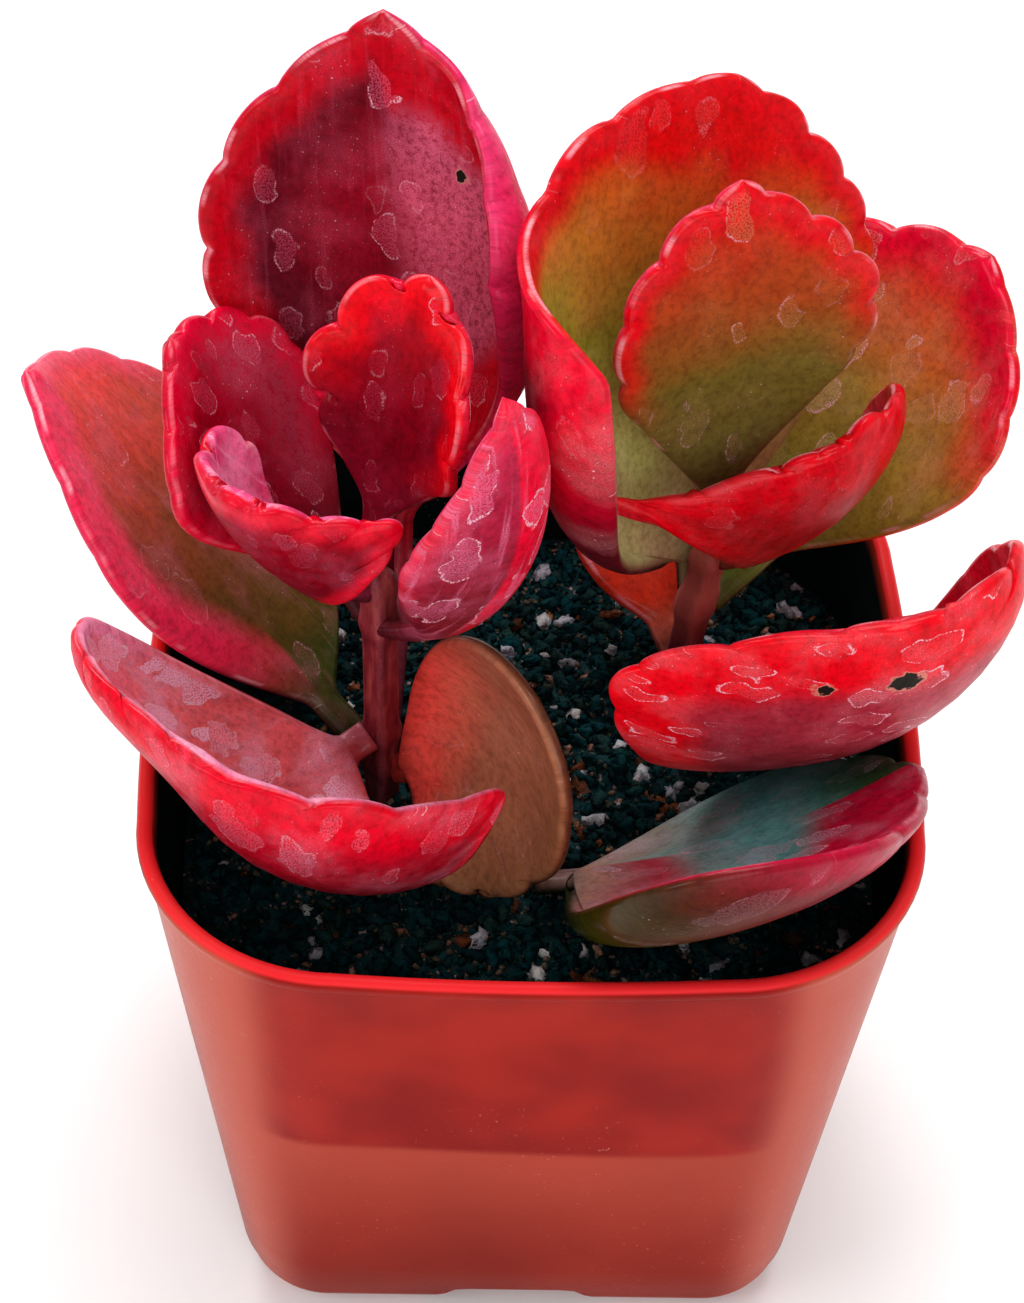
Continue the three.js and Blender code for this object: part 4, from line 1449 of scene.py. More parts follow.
class Stem:
    """Builds one four angled stem."""

    SIDES = 32
    STEP = 0.5
    DOME = 1.2
    DOME_RADIUS = 1.7
    DOME_FLAT = 0.05
    CROWN = 0.2

    def __init__(self, form: StemForm) -> None:
        """Keeps the stem's form."""
        self.form = form

    def paint(self) -> bpy.types.Material:
        """Makes the purple brown skin with a pale bloom on its ridges.

        Returns:
            The material.
        """
        pen = Pen(self.form.name)
        ridge = pen.attribute("ridge")
        place = pen.place()
        fine = pen.noise(place, 9000, 1, 0.7)
        long = pen.noise(pen.moved(place, (0, 0, 0), (1, 1, 0.25)), 900, 2, 0.6)
        colour = pen.ramp(long, [(0.3, (92, 24, 40)), (0.5, (128, 44, 54)), (0.7, (166, 86, 84))])
        bloom = ridge.rise(0.35, 0.95) * fine.rise(0.35, 0.62)
        colour = pen.mix(bloom * 0.3, colour, (206, 130, 140))
        up = pen.add("ShaderNodeSeparateXYZ", None, {0: place}, out=2) * (1 / MM)
        colour = pen.mix(up.rise(49, 56) * self.form.blush, colour, (216, 128, 112))
        rough = bloom * 0.3 + 0.42
        return pen.finish({
            "Base Color": colour,
            "Roughness": rough,
            "Normal": pen.bump(long * 0.7 + fine * 0.3, 0.0003, 0.6),
        })

    def make(self) -> bpy.types.Object:
        """Lofts the stem along its path.

        Returns:
            The stem.
        """
        form = self.form
        bottom, top = form.path[0][2], form.path[-1][2]
        heights = np.arange(bottom, top + self.STEP, self.STEP)
        angles = 2 * np.pi * np.arange(self.SIDES) / self.SIDES
        wave = np.cos(4 * angles)
        rows = []
        for z in heights:
            swell = sum(math.exp(-(((z - n) / form.swell_length) ** 2)) for n in form.nodes)
            past = max(z - top + self.DOME, 0)
            share = math.sqrt(max(1 - (past / self.DOME_RADIUS) ** 2, self.DOME_FLAT))
            radius = form.radius * (1 + form.ridge * wave) * share + form.swell * min(swell, 1)
            x, y, _ = form.centre(min(z, top))
            across, ahead = radius * np.cos(angles), radius * np.sin(angles)
            rows.append(np.stack([x + across, y + ahead, np.full_like(angles, z)], 1))
        rings = np.array(rows)
        crown = rings[-1].mean(0) + (0, 0, self.CROWN)
        points = np.concatenate([rings.reshape(-1, 3), [rings[0].mean(0), crown]])
        faces = ring_faces(len(rings), self.SIDES)
        piece = mesh_piece(form.name, points, faces, [self.paint()])
        carry(piece.data, "ridge", np.concatenate([np.tile(wave, len(rings)), [0, 0]]))
        return piece


@dataclass(frozen=True)
class PotForm:
    """The square tapered nursery pot, in millimetres.

    Attributes:
        height: Height of the pot.
        half_top: Half its width at the top.
        half_foot: Half its width at the foot.
        corner_top: Radius of the corners at the top.
        corner_foot: Radius of the corners at the foot.
        bow: How far the sides bow out at the top.
        foot_round: Radius of the round foot edge.
        wall: Thickness of the wall.
        floor: Height of the floor's upper face.
        floor_round: Size of the bevel between floor and wall, inside.
        lip_height: Height of the lip.
        lip_out: How far the lip stands out.
        arch_width: Width of a foot arch at the ground.
        arch_flat: Width of its flat top.
        arch_height: Height of a foot arch.
        arch_depth: How far it is cut into the foot.
        drain_radius: Radius of a drain hole.
        drain_place: Place of a drain hole along x and along y.
    """

    height: float = 51.8
    half_top: float = 27.6
    half_foot: float = 21.9
    corner_top: float = 14.2
    corner_foot: float = 6.8
    bow: float = 0.45
    foot_round: float = 2.8
    wall: float = 0.9
    floor: float = 4.4
    floor_round: float = 1.1
    lip_height: float = 1.3
    lip_out: float = 0.35
    arch_width: float = 17
    arch_flat: float = 7
    arch_height: float = 3.4
    arch_depth: float = 3.5
    drain_radius: float = 1.8
    drain_place: float = 10

    def ring(
        self, z: float, inward: float, side_steps: int = 16, arc_steps: int = 18
    ) -> np.ndarray:
        """Gives the outline of the wall at a height.

        Args:
            z: Height above the foot.
            inward: How far the outline is moved in.
            side_steps: Steps along each side.
            arc_steps: Steps round each corner.

        Returns:
            Points of the outline.
        """
        t = z / self.height
        half = self.half_foot + (self.half_top - self.half_foot) * t - inward
        corner = self.corner_foot + (self.corner_top - self.corner_foot) * t - inward
        straight = half - corner
        s = -1 + 2 * np.arange(side_steps) / side_steps
        x = half + self.bow * t * (1 - s * s)
        a = np.pi / 2 * np.arange(arc_steps) / arc_steps
        x = np.concatenate([x, straight + corner * np.cos(a)])
        y = np.concatenate([straight * s, straight + corner * np.sin(a)])
        quarters = []
        for turn in np.arange(4) * np.pi / 2:
            cos, sin = np.cos(turn), np.sin(turn)
            quarters.append(np.stack([x * cos - y * sin, x * sin + y * cos, np.full_like(x, z)], 1))
        return np.concatenate(quarters)


class Pot:
    """Builds the pot with its rounded lip, foot arches and drain holes, in millimetres."""

    FOOT_STEPS = 7
    WALL_STEPS = 14
    LIP_STEPS = 4
    TOP_STEPS = 10
    INNER_STEPS = 10
    WALL_FROM = 1.0
    LIP_BEND = 0.15
    INNER_TOP = 1.6
    ARCH_STEPS = 9
    DRAIN_SIDES = 28
    CUT_PAST = 1.0
    CUT_BEFORE = 5.0
    SHARP = math.radians(40)

    def __init__(self, form: PotForm) -> None:
        """Keeps the pot's form."""
        self.form = form

    def profile(self) -> list[tuple[float, float, float]]:
        """Lists rings from the foot up the outside and down the inside.

        Returns:
            For each ring the height that gives its outline, how far in it lies, and its height.
        """
        form = self.form
        rings: list[tuple[float, float, float]] = []
        for a in np.linspace(0, math.pi / 2, self.FOOT_STEPS):
            inward = form.foot_round * (1 - math.sin(a))
            rings.append((0, inward, form.foot_round * (1 - math.cos(a))))
        lip_foot = form.height - form.lip_height
        bend = 2 * self.LIP_BEND
        for z in np.linspace(form.foot_round + self.WALL_FROM, lip_foot - bend, self.WALL_STEPS):
            rings.append((z, 0, z))
        for a in np.linspace(0, math.pi / 2, self.LIP_STEPS):
            z = lip_foot - self.LIP_BEND + bend * (1 - math.cos(a))
            rings.append((lip_foot, -form.lip_out * math.sin(a), z))
        half = (form.wall + form.lip_out) / 2
        for a in np.linspace(0, math.pi, self.TOP_STEPS):
            inward = -form.lip_out + half * (1 - math.cos(a))
            rings.append((form.height, inward, form.height - half + half * math.sin(a)))
        inner_foot = form.floor + form.floor_round
        for z in np.linspace(form.height - self.INNER_TOP, inner_foot, self.INNER_STEPS):
            rings.append((z, form.wall, z))
        rings.append((form.floor, form.wall + form.floor_round, form.floor))
        return rings

    def paint(self) -> bpy.types.Material:
        """Makes the thin glossy red plastic, with painted reflections and a painted highlight on
        the lip outside, painted shade darkening its inside, and dust.

        Returns:
            The material.
        """
        pen = Pen("pot_plastic")
        place = pen.place()
        x, y, up = (
            pen.add("ShaderNodeSeparateXYZ", None, {0: place}, out=k) * (1 / MM) for k in range(3)
        )
        sideways = x.absolute() & y.absolute()
        inside = pen.attribute("inside")
        cloud = pen.noise(place, 60, 2, 0.55)
        fine = pen.noise(place, 1400, 1, 0.6)
        reds = [(0.3, (132, 30, 15)), (0.55, (146, 38, 22)), (0.75, (156, 46, 28))]
        outer = pen.ramp(cloud, reds)
        sway = pen.noise(place, 22, 1) * 5
        # Painted reflection: lighter bands on the pot's rounded corners.
        outer = pen.mix((sideways + sway).rise(19.0, 23.5) * 0.5, outer, (214, 112, 92))
        # Painted reflection of the pale floor: the wall is lighter from about 12 mm up.
        outer = pen.mix((up + sway).rise(12.0, 30.0) * 0.55, outer, (190, 84, 66))
        # Painted reflection: a dark, patchy zone on the upper wall, strongest at the front.
        front = y.fall(-18, -12) * 0.85 + 0.1
        dark_reflection = (up + sway).rise(29.2, 30.4) * (sideways + sway).fall(18.8, 22.0)
        patchy = pen.noise(place, 90, 2, 0.6).rise(0.3, 0.75)
        outer = pen.mix(dark_reflection * front, outer, pen.mix(patchy, (134, 14, 9), (166, 34, 23)))
        # Painted highlight: the top of the lip is bright coral.
        outer = pen.mix(up.rise(51.35, 51.6) * 0.9, outer, (240, 52, 58))
        # Painted shade: the inside wall is near black, with patchy teal and brown tones.
        inside_shade_noise = pen.noise(place, 420, 2, 0.65)
        inner = pen.ramp(inside_shade_noise, [(0.3, (8, 20, 22)), (0.6, (16, 30, 32)), (0.8, (60, 40, 36))])
        # Painted highlight: the inner top of the lip is bright coral.
        inner = pen.mix(up.rise(51.1, 51.5), inner, (226, 66, 68))
        colour = pen.mix(inside, outer, inner)
        dust = pen.noise(place, 2600, 1).rise(0.7, 0.78) * cloud.rise(0.45, 0.7)
        colour = pen.mix(dust * 0.5, colour, (216, 150, 140))
        rough = fine * 0.1 + inside * 0.25 + 0.26
        return pen.finish({
            "Base Color": colour,
            "Roughness": rough,
            "Normal": pen.bump(cloud * 0.8 + fine * 0.05, 0.0005, 0.35),
            "Specular IOR Level": 0.1,
        })

    @staticmethod
    def prism(name: str, near: Sequence[Any], far: Sequence[Any]) -> bpy.types.Object:
        """Makes a closed body between two outlines.

        Args:
            name: The body's name.
            near: Points of the first outline.
            far: Points of the second outline, in the same order.

        Returns:
            The body, with its faces outward.
        """
        count = len(near)
        faces = [[i, (i + 1) % count, count + (i + 1) % count, count + i] for i in range(count)]
        faces += [list(range(count))[::-1], list(range(count, 2 * count))]
        body = mesh_piece(name, np.array([*near, *far]), faces, [])
        shape = bmesh.new()
        shape.from_mesh(body.data)
        bmesh.ops.recalc_face_normals(shape, faces=shape.faces)
        shape.to_mesh(body.data)
        shape.free()
        return body

    def cutters(self) -> list[bpy.types.Object]:
        """Makes the bodies that cut the foot arches and the drain holes.

        Returns:
            The bodies, two for each side of the pot.
        """
        form = self.form
        outer, inner = form.arch_width / 2, form.arch_flat / 2
        bend = np.linspace(0, 1, self.ARCH_STEPS)
        rise = form.arch_height * (3 * bend**2 - 2 * bend**3)
        x = outer + (inner - outer) * bend
        low = -self.CUT_PAST
        profile = [(outer, low), *zip(x, rise), *zip(-x[::-1], rise[::-1]), (-outer, low)]
        front, back = -form.half_foot - self.CUT_BEFORE, form.arch_depth - form.half_foot
        angles = 2 * np.pi * np.arange(self.DRAIN_SIDES) / self.DRAIN_SIDES
        bodies = []
        for side in range(4):
            turn = Matrix.Rotation(side * math.pi / 2, 3, "Z")
            near, far = ([turn @ Vector((px, y, pz)) for px, pz in profile] for y in (front, back))
            bodies.append(self.prism(f"cut_arch_{side}", near, far))
            centre = turn @ Vector((form.drain_place, form.drain_place, 0))
            ring_x = centre.x + form.drain_radius * np.cos(angles)
            ring_y = centre.y + form.drain_radius * np.sin(angles)
            near, far = (
                np.stack([ring_x, ring_y, np.full_like(ring_x, z)], 1)
                for z in (low, form.floor + self.CUT_PAST)
            )
            bodies.append(self.prism(f"cut_drain_{side}", near, far))
        return bodies

    def make(self) -> bpy.types.Object:
        """Lofts the pot, stores which points are inside, and cuts it.

        Returns:
            The pot.
        """
        form = self.form
        rings = []
        for source, inward, z in self.profile():
            ring = form.ring(source, inward)
            ring[:, 2] = z
            rings.append(ring)
        count, steps = len(rings[0]), len(rings)
        points = np.concatenate([*rings, [(0, 0, 0), (0, 0, form.floor)]])
        piece = mesh_piece("pot_shell", points, ring_faces(steps, count), [self.paint()])
        inner = np.arange(steps) >= steps - self.INNER_STEPS - 1
        carry(piece.data, "inside", np.concatenate([np.repeat(inner, count), [0, 1]]))
        cutters = self.cutters()
        for cutter in cutters:
            cut = piece.modifiers.new("cut", "BOOLEAN")
            cut.operation = "DIFFERENCE"
            cut.solver = "EXACT"
            cut.object = cutter
        baked(piece)
        for cutter in cutters:
            bpy.data.objects.remove(cutter, do_unlink=True)
        piece.data.set_sharp_from_angle(angle=self.SHARP)
        return piece


@dataclass(frozen=True)
class Grains:
    """One kind of grain that lies on the soil.

    Attributes:
        name: Name of the piece and of its material.
        density: Grains on a square metre.
        smallest: Smallest width, in millimetres.
        largest: Largest width, in millimetres.
        flat: Height as a share of the width.
        colours: Colours from the darkest grain to the palest.
        rough: Roughness of the surface.
        seed: Number that the grains are drawn by.
        lift: How far they are raised, as a share of the smallest width.
        detail: Subdivisions of each grain.
    """

    name: str
    density: float
    smallest: float
    largest: float
    flat: float
    colours: tuple[Colour, Colour, Colour]
    rough: float
    seed: int
    lift: float = 0.2
    detail: int = 2


GRAINS = (
    Grains(
        "soil_crumbs", density=8.5e5, smallest=0.4, largest=1.7, flat=0.7,
        colours=((0, 42, 48), (4, 68, 72), (38, 66, 60)), rough=0.85, seed=3, lift=0.5,
    ),
    Grains(
        "soil_dust", density=2.8e6, smallest=0.25, largest=0.7, flat=0.8,
        colours=((0, 44, 50), (10, 74, 76), (116, 100, 84)), rough=0.9, seed=5, lift=0.3, detail=1,
    ),
    Grains(
        "perlite", density=5.0e4, smallest=0.7, largest=1.8, flat=0.85,
        colours=((150, 150, 160), (196, 194, 200), (222, 218, 214)), rough=0.8, seed=11, lift=0.1,
    ),
    Grains(
        "tan_grit", density=1.5e5, smallest=0.4, largest=1.0, flat=0.7,
        colours=((140, 98, 78), (190, 150, 136), (150, 110, 74)), rough=0.75, seed=17, lift=0.1,
    ),
    Grains(
        "bark_bits", density=4.5e4, smallest=0.8, largest=2.0, flat=0.45,
        colours=((110, 62, 36), (150, 90, 56), (74, 48, 36)), rough=0.8, seed=23, lift=0.1,
    ),
)


class Soil:
    """Builds the uneven bed of potting soil. Sizes are in millimetres."""

    TOP = 41.7
    GAP = 0.3
    SWELL = 0.3
    EDGE_DROP = 0.4
    CLODS = 90
    SMALL = 0.8
    LARGE = 2.1
    RISE = 0.5
    TALLEST = 0.75
    RINGS = 46
    SPREAD = 27.6
    LOWERED = 0.1
    SHOULDER = 3.0
    ABOVE_ROUND = 1.0

    def __init__(self, pot: PotForm) -> None:
        """Keeps the pot that holds the soil."""
        self.pot = pot

    def heights(self, flat: np.ndarray, part: np.ndarray) -> np.ndarray:
        """Gives the height of the soil.

        Args:
            flat: Places as x and y.
            part: For each place, 0 at the middle and 1 at the wall.

        Returns:
            Heights above the pot's foot.
        """
        x, y = flat[..., 0], flat[..., 1]
        rise = np.zeros_like(x)
        for i in range(self.CLODS):
            cx = (2 * chance(i, 1) - 1) * self.SPREAD
            cy = (2 * chance(i, 2) - 1) * self.SPREAD
            size = self.SMALL + (self.LARGE - self.SMALL) * chance(i, 3) ** 3
            away = np.hypot(x - cx, y - cy) / size
            rise = np.maximum(rise, self.RISE * size * np.sqrt(np.maximum(1 - away**2, 0)))
        level = self.TOP + self.SWELL * np.sin(0.45 * x + 1) * np.sin(0.38 * y)
        return level + np.minimum(rise, self.TALLEST) - self.EDGE_DROP * part**12 - self.LOWERED

    def paint(self) -> bpy.types.Material:
        """Makes the dark, damp peat.

        Returns:
            The material.
        """
        pen = Pen("potting_soil")
        place = pen.place()
        clod = pen.noise(place, 420, 3, 0.65)
        fine = pen.noise(place, 2600, 2, 0.7)
        colour = pen.ramp(clod, [(0.3, (0, 40, 46)), (0.55, (6, 60, 64)), (0.75, (44, 58, 52))])
        speck = pen.noise(place, 1500, 1).rise(0.66, 0.72)
        colour = pen.mix(speck * 0.7, colour, (186, 150, 140))
        rough = fine * 0.2 + 0.75
        return pen.finish({
            "Base Color": colour,
            "Roughness": rough,
            "Normal": pen.bump(clod * 0.7 + fine * 0.3, 0.0009, 0.9),
            "Specular IOR Level": 0.3,
        })

    def make(self) -> bpy.types.Object:
        """Builds the bed from rings that follow the pot's inner wall.

        Returns:
            The bed.
        """
        form = self.pot
        floor = form.floor + self.GAP
        inward = form.wall + self.GAP
        outline = form.ring(self.TOP, inward)
        rows = []
        for k in range(1, self.RINGS + 1):
            part = k / self.RINGS
            ring = outline * part
            ring[:, 2] = self.heights(ring[:, :2], np.full(len(ring), part))
            rows.append(ring)
        for z in (self.TOP - self.SHOULDER, form.floor + form.floor_round + self.ABOVE_ROUND):
            rows.append(form.ring(z, inward))
        low = form.ring(form.floor, inward + form.floor_round)
        low[:, 2] = floor
        rows.append(low)
        count = len(outline)
        middle = np.array([0, 0, self.heights(np.zeros((1, 2)), np.zeros(1))[0]])
        points = np.concatenate([*rows, [middle, (0, 0, floor)]])
        faces = [face[::-1] for face in ring_faces(len(rows), count)]
        piece = mesh_piece("soil_bed", points, faces, [self.paint()])
        on_bed = np.arange(len(rows)) < self.RINGS
        carry(piece.data, "bed", np.concatenate([np.repeat(on_bed, count), [1, 0]]))
        return piece


class Scatter:
    """Lays one kind of grain on the soil with Geometry Nodes."""

    RADIUS = 0.5
    LUMPS = 2.6
    LUMP_HEIGHT = 1.25
    NARROWEST = 0.65
    TILT = 0.6
    FULL_TURN = 6.28
    WIDTH_SEED = 41
    TURN_SEED = 7
    COLOUR_SEED = 19
    ON_BED = 0.9
    LEVEL = 42.0
    STEM_CLEARANCE = 1.6
    WALL_CLEARANCE = 0.2

    def __init__(self, kind: Grains) -> None:
        """Keeps the kind of grain."""
        self.kind = kind

    def paint(self) -> bpy.types.Material:
        """Makes the grains' material, with a colour drawn for each grain.

        Returns:
            The material.
        """
        kind = self.kind
        pen = Pen(kind.name)
        place = pen.place()
        draw = pen.attribute("draw")
        fine = pen.noise(place, 2400, 2, 0.65)
        low, middle, high = kind.colours
        colour = pen.ramp(draw, [(0.1, low), (0.55, middle), (0.9, high)])
        colour = pen.mix(fine.rise(0.35, 0.65) * 0.5, colour, low)
        damp = pen.noise(place, 230, 1, 0.6).rise(0.42, 0.6)
        colour = pen.mix(damp * 0.45, colour, (60, 80, 80), "MULTIPLY")
        rough = fine * 0.2 + (kind.rough - 0.1)
        return pen.finish({
            "Base Color": colour,
            "Roughness": rough,
            "Normal": pen.bump(fine, 0.0004, 0.8),
            "Specular IOR Level": 0.15,
        })

    def group(self) -> bpy.types.NodeTree:
        """Starts the node tree and names its inputs.

        Returns:
            The tree, without nodes.
        """
        kind = self.kind
        tree = bpy.data.node_groups.new(f"scatter_{kind.name}", "GeometryNodeTree")
        face = tree.interface
        face.new_socket("Geometry", in_out="INPUT", socket_type="NodeSocketGeometry")
        sizes = {
            "Density": kind.density,
            "Smallest": kind.smallest * MM,
            "Largest": kind.largest * MM,
            "Flat": kind.flat,
        }
        for label, value in sizes.items():
            socket = face.new_socket(label, in_out="INPUT", socket_type="NodeSocketFloat")
            socket.default_value = value
        socket = face.new_socket("Seed", in_out="INPUT", socket_type="NodeSocketInt")
        socket.default_value = kind.seed
        face.new_socket("Geometry", in_out="OUTPUT", socket_type="NodeSocketGeometry")
        return tree

    def tree(self, material: bpy.types.Material) -> bpy.types.NodeTree:
        """Writes the node tree that scatters the grains.

        Args:
            material: The grains' material.

        Returns:
            The tree, with its inputs named.
        """
        kind = self.kind
        tree = self.group()

        def node(
            kind_name: str,
            settings: dict[str, Any] | None = None,
            sockets: dict[int | str, Any] | None = None,
        ) -> bpy.types.Node:
            """Adds one node with its settings, and the values or links of its sockets.

            Args:
                kind_name: The node's type.
                settings: Properties that are set first.
                sockets: Values or links for the inputs.

            Returns:
                The node.
            """
            made = tree.nodes.new(kind_name)
            for key, value in (settings or {}).items():
                setattr(made, key, value)
            for key, value in (sockets or {}).items():
                if isinstance(value, bpy.types.NodeSocket):
                    tree.links.new(value, made.inputs[key])
                else:
                    made.inputs[key].default_value = value
            return made

        def draw(low: Any, high: Any, seed: Any) -> bpy.types.NodeSocket:
            """Draws a number for each grain."""
            sockets = {2: low, 3: high, "Seed": seed}
            return node("FunctionNodeRandomValue", {"data_type": "FLOAT"}, sockets).outputs[1]

        def scaled(vector: bpy.types.NodeSocket, scale: Any) -> bpy.types.NodeSocket:
            """Scales a vector."""
            sockets = {0: vector, "Scale": scale}
            return node("ShaderNodeVectorMath", {"operation": "SCALE"}, sockets).outputs[0]

        given = node("NodeGroupInput").outputs
        bed = node("GeometryNodeInputNamedAttribute", {"data_type": "FLOAT"}, {"Name": "bed"})
        on_top = node(
            "FunctionNodeCompare",
            {"data_type": "FLOAT", "operation": "GREATER_THAN"},
            {0: bed.outputs[0], 1: self.ON_BED},
        )
        points = node("GeometryNodeDistributePointsOnFaces", None, {
            "Mesh": given["Geometry"],
            "Selection": on_top.outputs[0],
            "Density": given["Density"],
            "Seed": given["Seed"],
        })
        ball = {"Radius": self.RADIUS, "Subdivisions": kind.detail}
        grain = node("GeometryNodeMeshIcoSphere", None, ball)
        where = node("GeometryNodeInputPosition").outputs[0]
        lumps = node(
            "ShaderNodeTexNoise",
            {"noise_dimensions": "3D"},
            {"Vector": where, "Scale": self.LUMPS, "Detail": 1.0},
        )
        centred = node(
            "ShaderNodeVectorMath",
            {"operation": "SUBTRACT"},
            {0: lumps.outputs["Color"], 1: (0.5,) * 3},
        )
        grown = scaled(centred.outputs[0], self.LUMP_HEIGHT)
        sockets = {"Geometry": grain.outputs["Mesh"], "Offset": grown}
        shaped = node("GeometryNodeSetPosition", None, sockets)
        size = draw(given["Smallest"], given["Largest"], given["Seed"])
        wide = draw(self.NARROWEST, 1.0, self.WIDTH_SEED)
        shape = node("ShaderNodeCombineXYZ", None, {0: 1.0, 1: wide, 2: given["Flat"]})
        turn = node("FunctionNodeRandomValue", {"data_type": "FLOAT_VECTOR"}, {
            0: (-self.TILT, -self.TILT, 0.0),
            1: (self.TILT, self.TILT, self.FULL_TURN),
            "Seed": self.TURN_SEED,
        })
        placed = node("GeometryNodeInstanceOnPoints", None, {
            "Points": points.outputs["Points"],
            "Instance": shaped.outputs["Geometry"],
            "Rotation": turn.outputs[0],
            "Scale": scaled(shape.outputs[0], size),
        })
        kept = node(
            "GeometryNodeStoreNamedAttribute",
            {"data_type": "FLOAT", "domain": "INSTANCE"},
            {
                "Geometry": placed.outputs["Instances"],
                "Name": "draw",
                "Value": draw(0.0, 1.0, self.COLOUR_SEED),
            },
        )
        real = node("GeometryNodeRealizeInstances", None, {"Geometry": kept.outputs[0]})
        offset = (0, 0, kind.lift * kind.smallest * MM)
        sockets = {"Geometry": real.outputs[0], "Offset": offset}
        raised = node("GeometryNodeSetPosition", None, sockets)
        smooth = node("GeometryNodeSetShadeSmooth", None, {"Geometry": raised.outputs[0]})
        sockets = {"Geometry": smooth.outputs[0], "Material": material}
        painted = node("GeometryNodeSetMaterial", None, sockets)
        tree.links.new(painted.outputs[0], node("NodeGroupOutput").inputs[0])
        return tree

    def make(self, bed: bpy.types.Object) -> bpy.types.Object:
        """Scatters the grains and keeps those that clear the stems and the wall.

        Args:
            bed: The soil bed.

        Returns:
            The grains as one mesh.
        """
        piece = bpy.data.objects.new(self.kind.name, bed.data.copy())
        bpy.context.scene.collection.objects.link(piece)
        scatter = piece.modifiers.new("scatter", "NODES")
        scatter.node_group = self.tree(self.paint())
        baked(piece)
        self.trim(piece)
        return piece

    def trim(self, piece: bpy.types.Object) -> None:
        """Removes whole grains that would stand in a stem or in the pot's wall.

        Args:
            piece: The grains as one mesh.
        """
        shape = bmesh.new()
        shape.from_mesh(piece.data)
        form = PotForm()
        seen: set[int] = set()
        doomed = []
        for start in shape.verts:
            if start.index in seen:
                continue
            island, queue = [], [start]
            seen.add(start.index)
            while queue:
                vert = queue.pop()
                island.append(vert)
                for edge in vert.link_edges:
                    other = edge.other_vert(vert)
                    if other.index not in seen:
                        seen.add(other.index)
                        queue.append(other)
            if self.blocked(np.array([vert.co for vert in island]) / MM, form):
                doomed.extend(island)
        bmesh.ops.delete(shape, geom=doomed, context="VERTS")
        shape.to_mesh(piece.data)
        shape.free()

    def blocked(self, spots: np.ndarray, form: PotForm) -> bool:
        """Says whether a grain reaches a stem or the wall.

        Args:
            spots: The grain's points, in millimetres.
            form: The pot's form.

        Returns:
            Whether it does.
        """
        for stem in STEMS.values():
            x, y, _ = stem.centre(self.LEVEL)
            if np.hypot(spots[:, 0] - x, spots[:, 1] - y).min() < self.STEM_CLEARANCE:
                return True
        share = self.LEVEL / form.height
        half = form.half_foot + (form.half_top - form.half_foot) * share - form.wall
        half -= self.WALL_CLEARANCE
        corner = form.corner_foot + (form.corner_top - form.corner_foot) * share - form.wall
        inner = np.maximum(np.abs(spots[:, :2]) - (half - corner), 0)
        return bool(np.hypot(*inner.T).max() > corner - self.WALL_CLEARANCE)


@dataclass(frozen=True)
class Lamp:
    """One far, wide light. Azimuth 0 is in front and 90 on the right, in degrees."""

    name: str
    azimuth: float
    elevation: float
    width: float
    strength: float


class Light(Enum):
    """Lights of the studio."""

    TOP = Lamp("light_top", 165, 66, 36, 1.1)
    BACK = Lamp("light_back", 200, 34, 24, 0.8)
    SIDE = Lamp("light_side", -70, 35, 30, 0.5)
    FRONT = Lamp("light_front", 10, 32, 50, 0.9)


def direction(azimuth: float, elevation: float) -> Vector:
    """Points away from the plants.

    Args:
        azimuth: 0 in front and 90 on the right, in degrees.
        elevation: Angle above the floor, in degrees.

    Returns:
        The direction, one long.
    """
    turn, high = math.radians(azimuth), math.radians(elevation)
    level = math.cos(high)
    return Vector((math.sin(turn) * level, -math.cos(turn) * level, math.sin(high)))


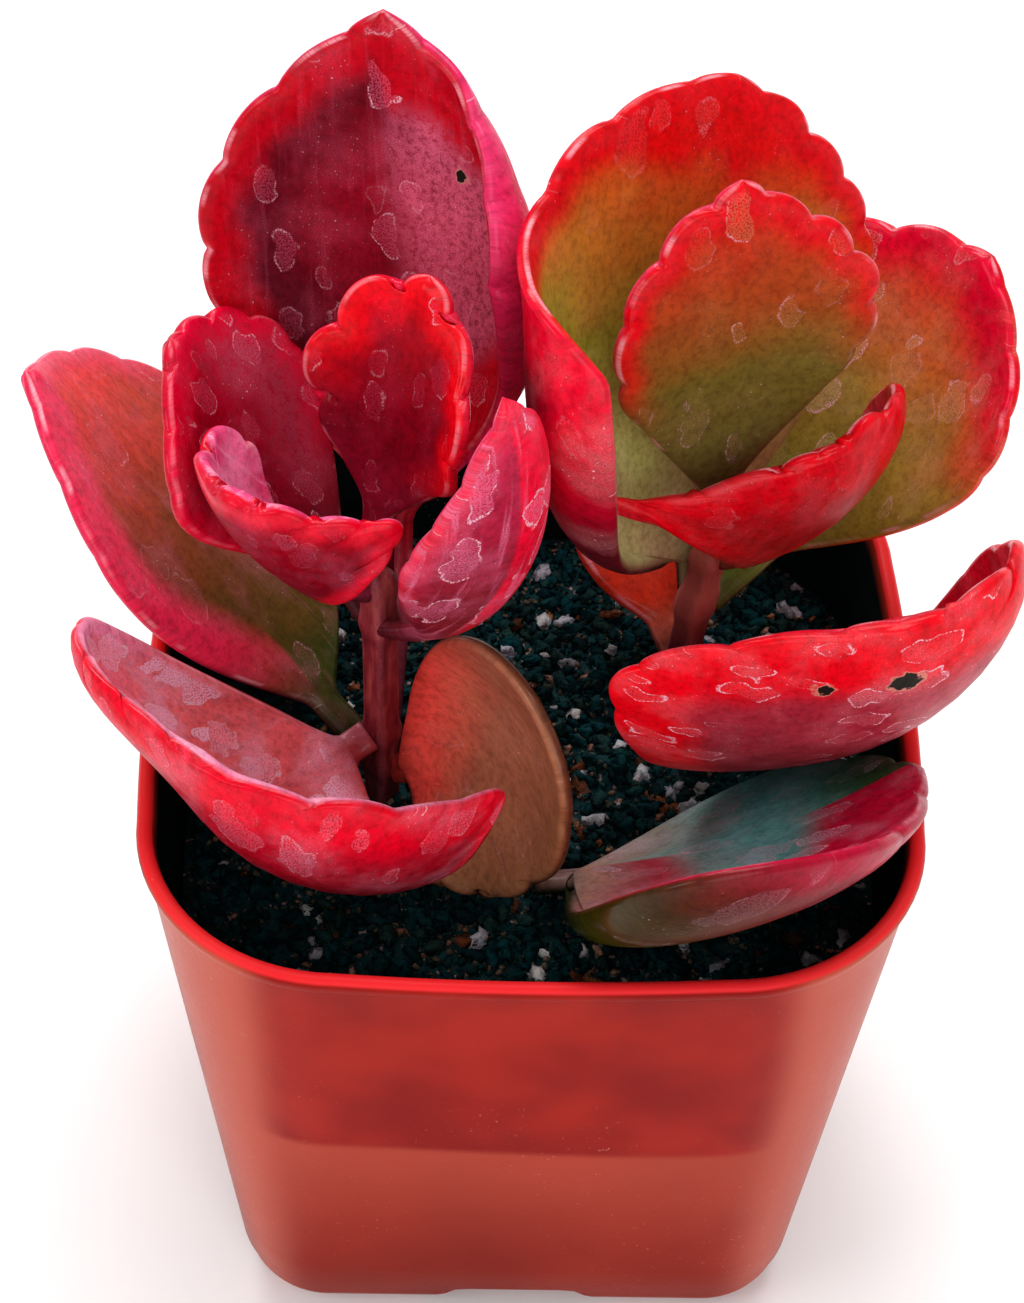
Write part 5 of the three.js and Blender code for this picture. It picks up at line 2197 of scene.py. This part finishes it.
class Studio:
    """Sets up the floor, the lights, the world and the camera. Sizes are in metres."""

    TARGET = Vector((0, 0, 0.030))
    ELEVATION = 47.0
    DISTANCE = 0.23702
    YAW = -1.41
    ROLL = 2.02
    SHIFT = (-0.0015, 0.01702)
    LENS = 82.78
    SENSOR = 36
    NEAREST = 0.01
    FLOOR_HALF = 15.0
    FLOOR_TONE = 0.96
    FLOOR_ROUGH = 0.9
    SURROUNDINGS = 0.42

    def world(self) -> None:
        """Fills the surroundings with soft pale light."""
        world = bpy.data.worlds.new("studio")
        world.use_nodes = True
        back = world.node_tree.nodes["Background"]
        back.inputs["Color"].default_value = (1.0, 1.0, 1.0, 1.0)
        back.inputs["Strength"].default_value = self.SURROUNDINGS
        bpy.context.scene.world = world

    def floor(self) -> None:
        """Lays the plain pale floor."""
        half = self.FLOOR_HALF / MM
        corners = [(-half, -half, 0), (half, -half, 0), (half, half, 0), (-half, half, 0)]
        tone = (self.FLOOR_TONE, self.FLOOR_TONE, self.FLOOR_TONE, 1)
        material = Pen("floor").finish({"Base Color": tone, "Roughness": self.FLOOR_ROUGH})
        floor = mesh_piece("floor", np.array(corners), [(0, 1, 2, 3)], [material], smooth=False)

    def lamps(self) -> None:
        """Hangs the lights, all facing the plants."""
        for light in Light:
            lamp = light.value
            data = bpy.data.lights.new(lamp.name, "SUN")
            data.angle = math.radians(lamp.width)
            data.energy = lamp.strength
            away = direction(lamp.azimuth, lamp.elevation)
            item = bpy.data.objects.new(lamp.name, data)
            item.location = away
            item.rotation_euler = away.to_track_quat("Z", "Y").to_euler()
            bpy.context.scene.collection.objects.link(item)

    def camera(self) -> None:
        """Places the camera where the photograph was taken from."""
        yaw, roll = math.radians(self.YAW), math.radians(self.ROLL)
        back = direction(self.YAW, self.ELEVATION)
        right = Vector((math.cos(yaw), math.sin(yaw), 0))
        up = back.cross(right)
        right_turned = math.cos(roll) * right + math.sin(roll) * up
        up_turned = -math.sin(roll) * right + math.cos(roll) * up
        data = bpy.data.cameras.new("camera")
        data.sensor_width = self.SENSOR
        data.lens = self.LENS
        data.clip_start = self.NEAREST
        camera = bpy.data.objects.new("camera", data)
        place = self.TARGET + back * self.DISTANCE + right * self.SHIFT[0] + up * self.SHIFT[1]
        basis = Matrix((right_turned, up_turned, back)).transposed().to_4x4()
        camera.matrix_world = Matrix.Translation(place) @ basis
        bpy.context.scene.collection.objects.link(camera)
        bpy.context.scene.camera = camera

    def build(self) -> None:
        """Sets everything up."""
        self.world()
        self.floor()
        self.lamps()
        self.camera()
        bpy.context.scene.view_settings.view_transform = "Standard"
        bpy.context.scene.view_settings.look = "Medium High Contrast"


class Plant:
    """Puts the whole object together."""

    def __init__(self) -> None:
        """Notes the forms."""
        self.pot = PotForm()

    def leaves(self) -> None:
        """Builds every leaf in the place of its solid."""
        for number, form in enumerate(LEAVES, start=1):
            paint = LeafPaint(form.name + "_skin", FINISHES[form.name], number)
            piece = LeafBlade(form, number).make(paint.make())
            piece.name = form.name + "_skin"
            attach(piece, "root")
            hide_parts(form.name)
            LOG.info("%s has %d faces", piece.name, len(piece.data.polygons))

    def stems(self) -> None:
        """Builds both stems."""
        for form in STEMS.values():
            piece = Stem(form).make()
            piece.name = form.name + "_skin"
            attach(piece, "root")
            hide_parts(form.name)

    def vessel(self) -> None:
        """Builds the pot, the soil and its grains."""
        pot = Pot(self.pot).make()
        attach(pot, "root")
        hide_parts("pot")
        bed = Soil(self.pot).make()
        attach(bed, "root")
        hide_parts("soil")
        for kind in GRAINS:
            grains = Scatter(kind).make(bed)
            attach(grains, "root")
            LOG.info("%s has %d faces", grains.name, len(grains.data.polygons))

    def build(self) -> None:
        """Builds all parts of the plant."""
        self.vessel()
        self.stems()
        self.leaves()


def main() -> None:
    """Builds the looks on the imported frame."""
    logging.basicConfig(level=logging.INFO)
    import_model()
    Plant().build()
    Studio().build()


if __name__ == "__main__":
    main()
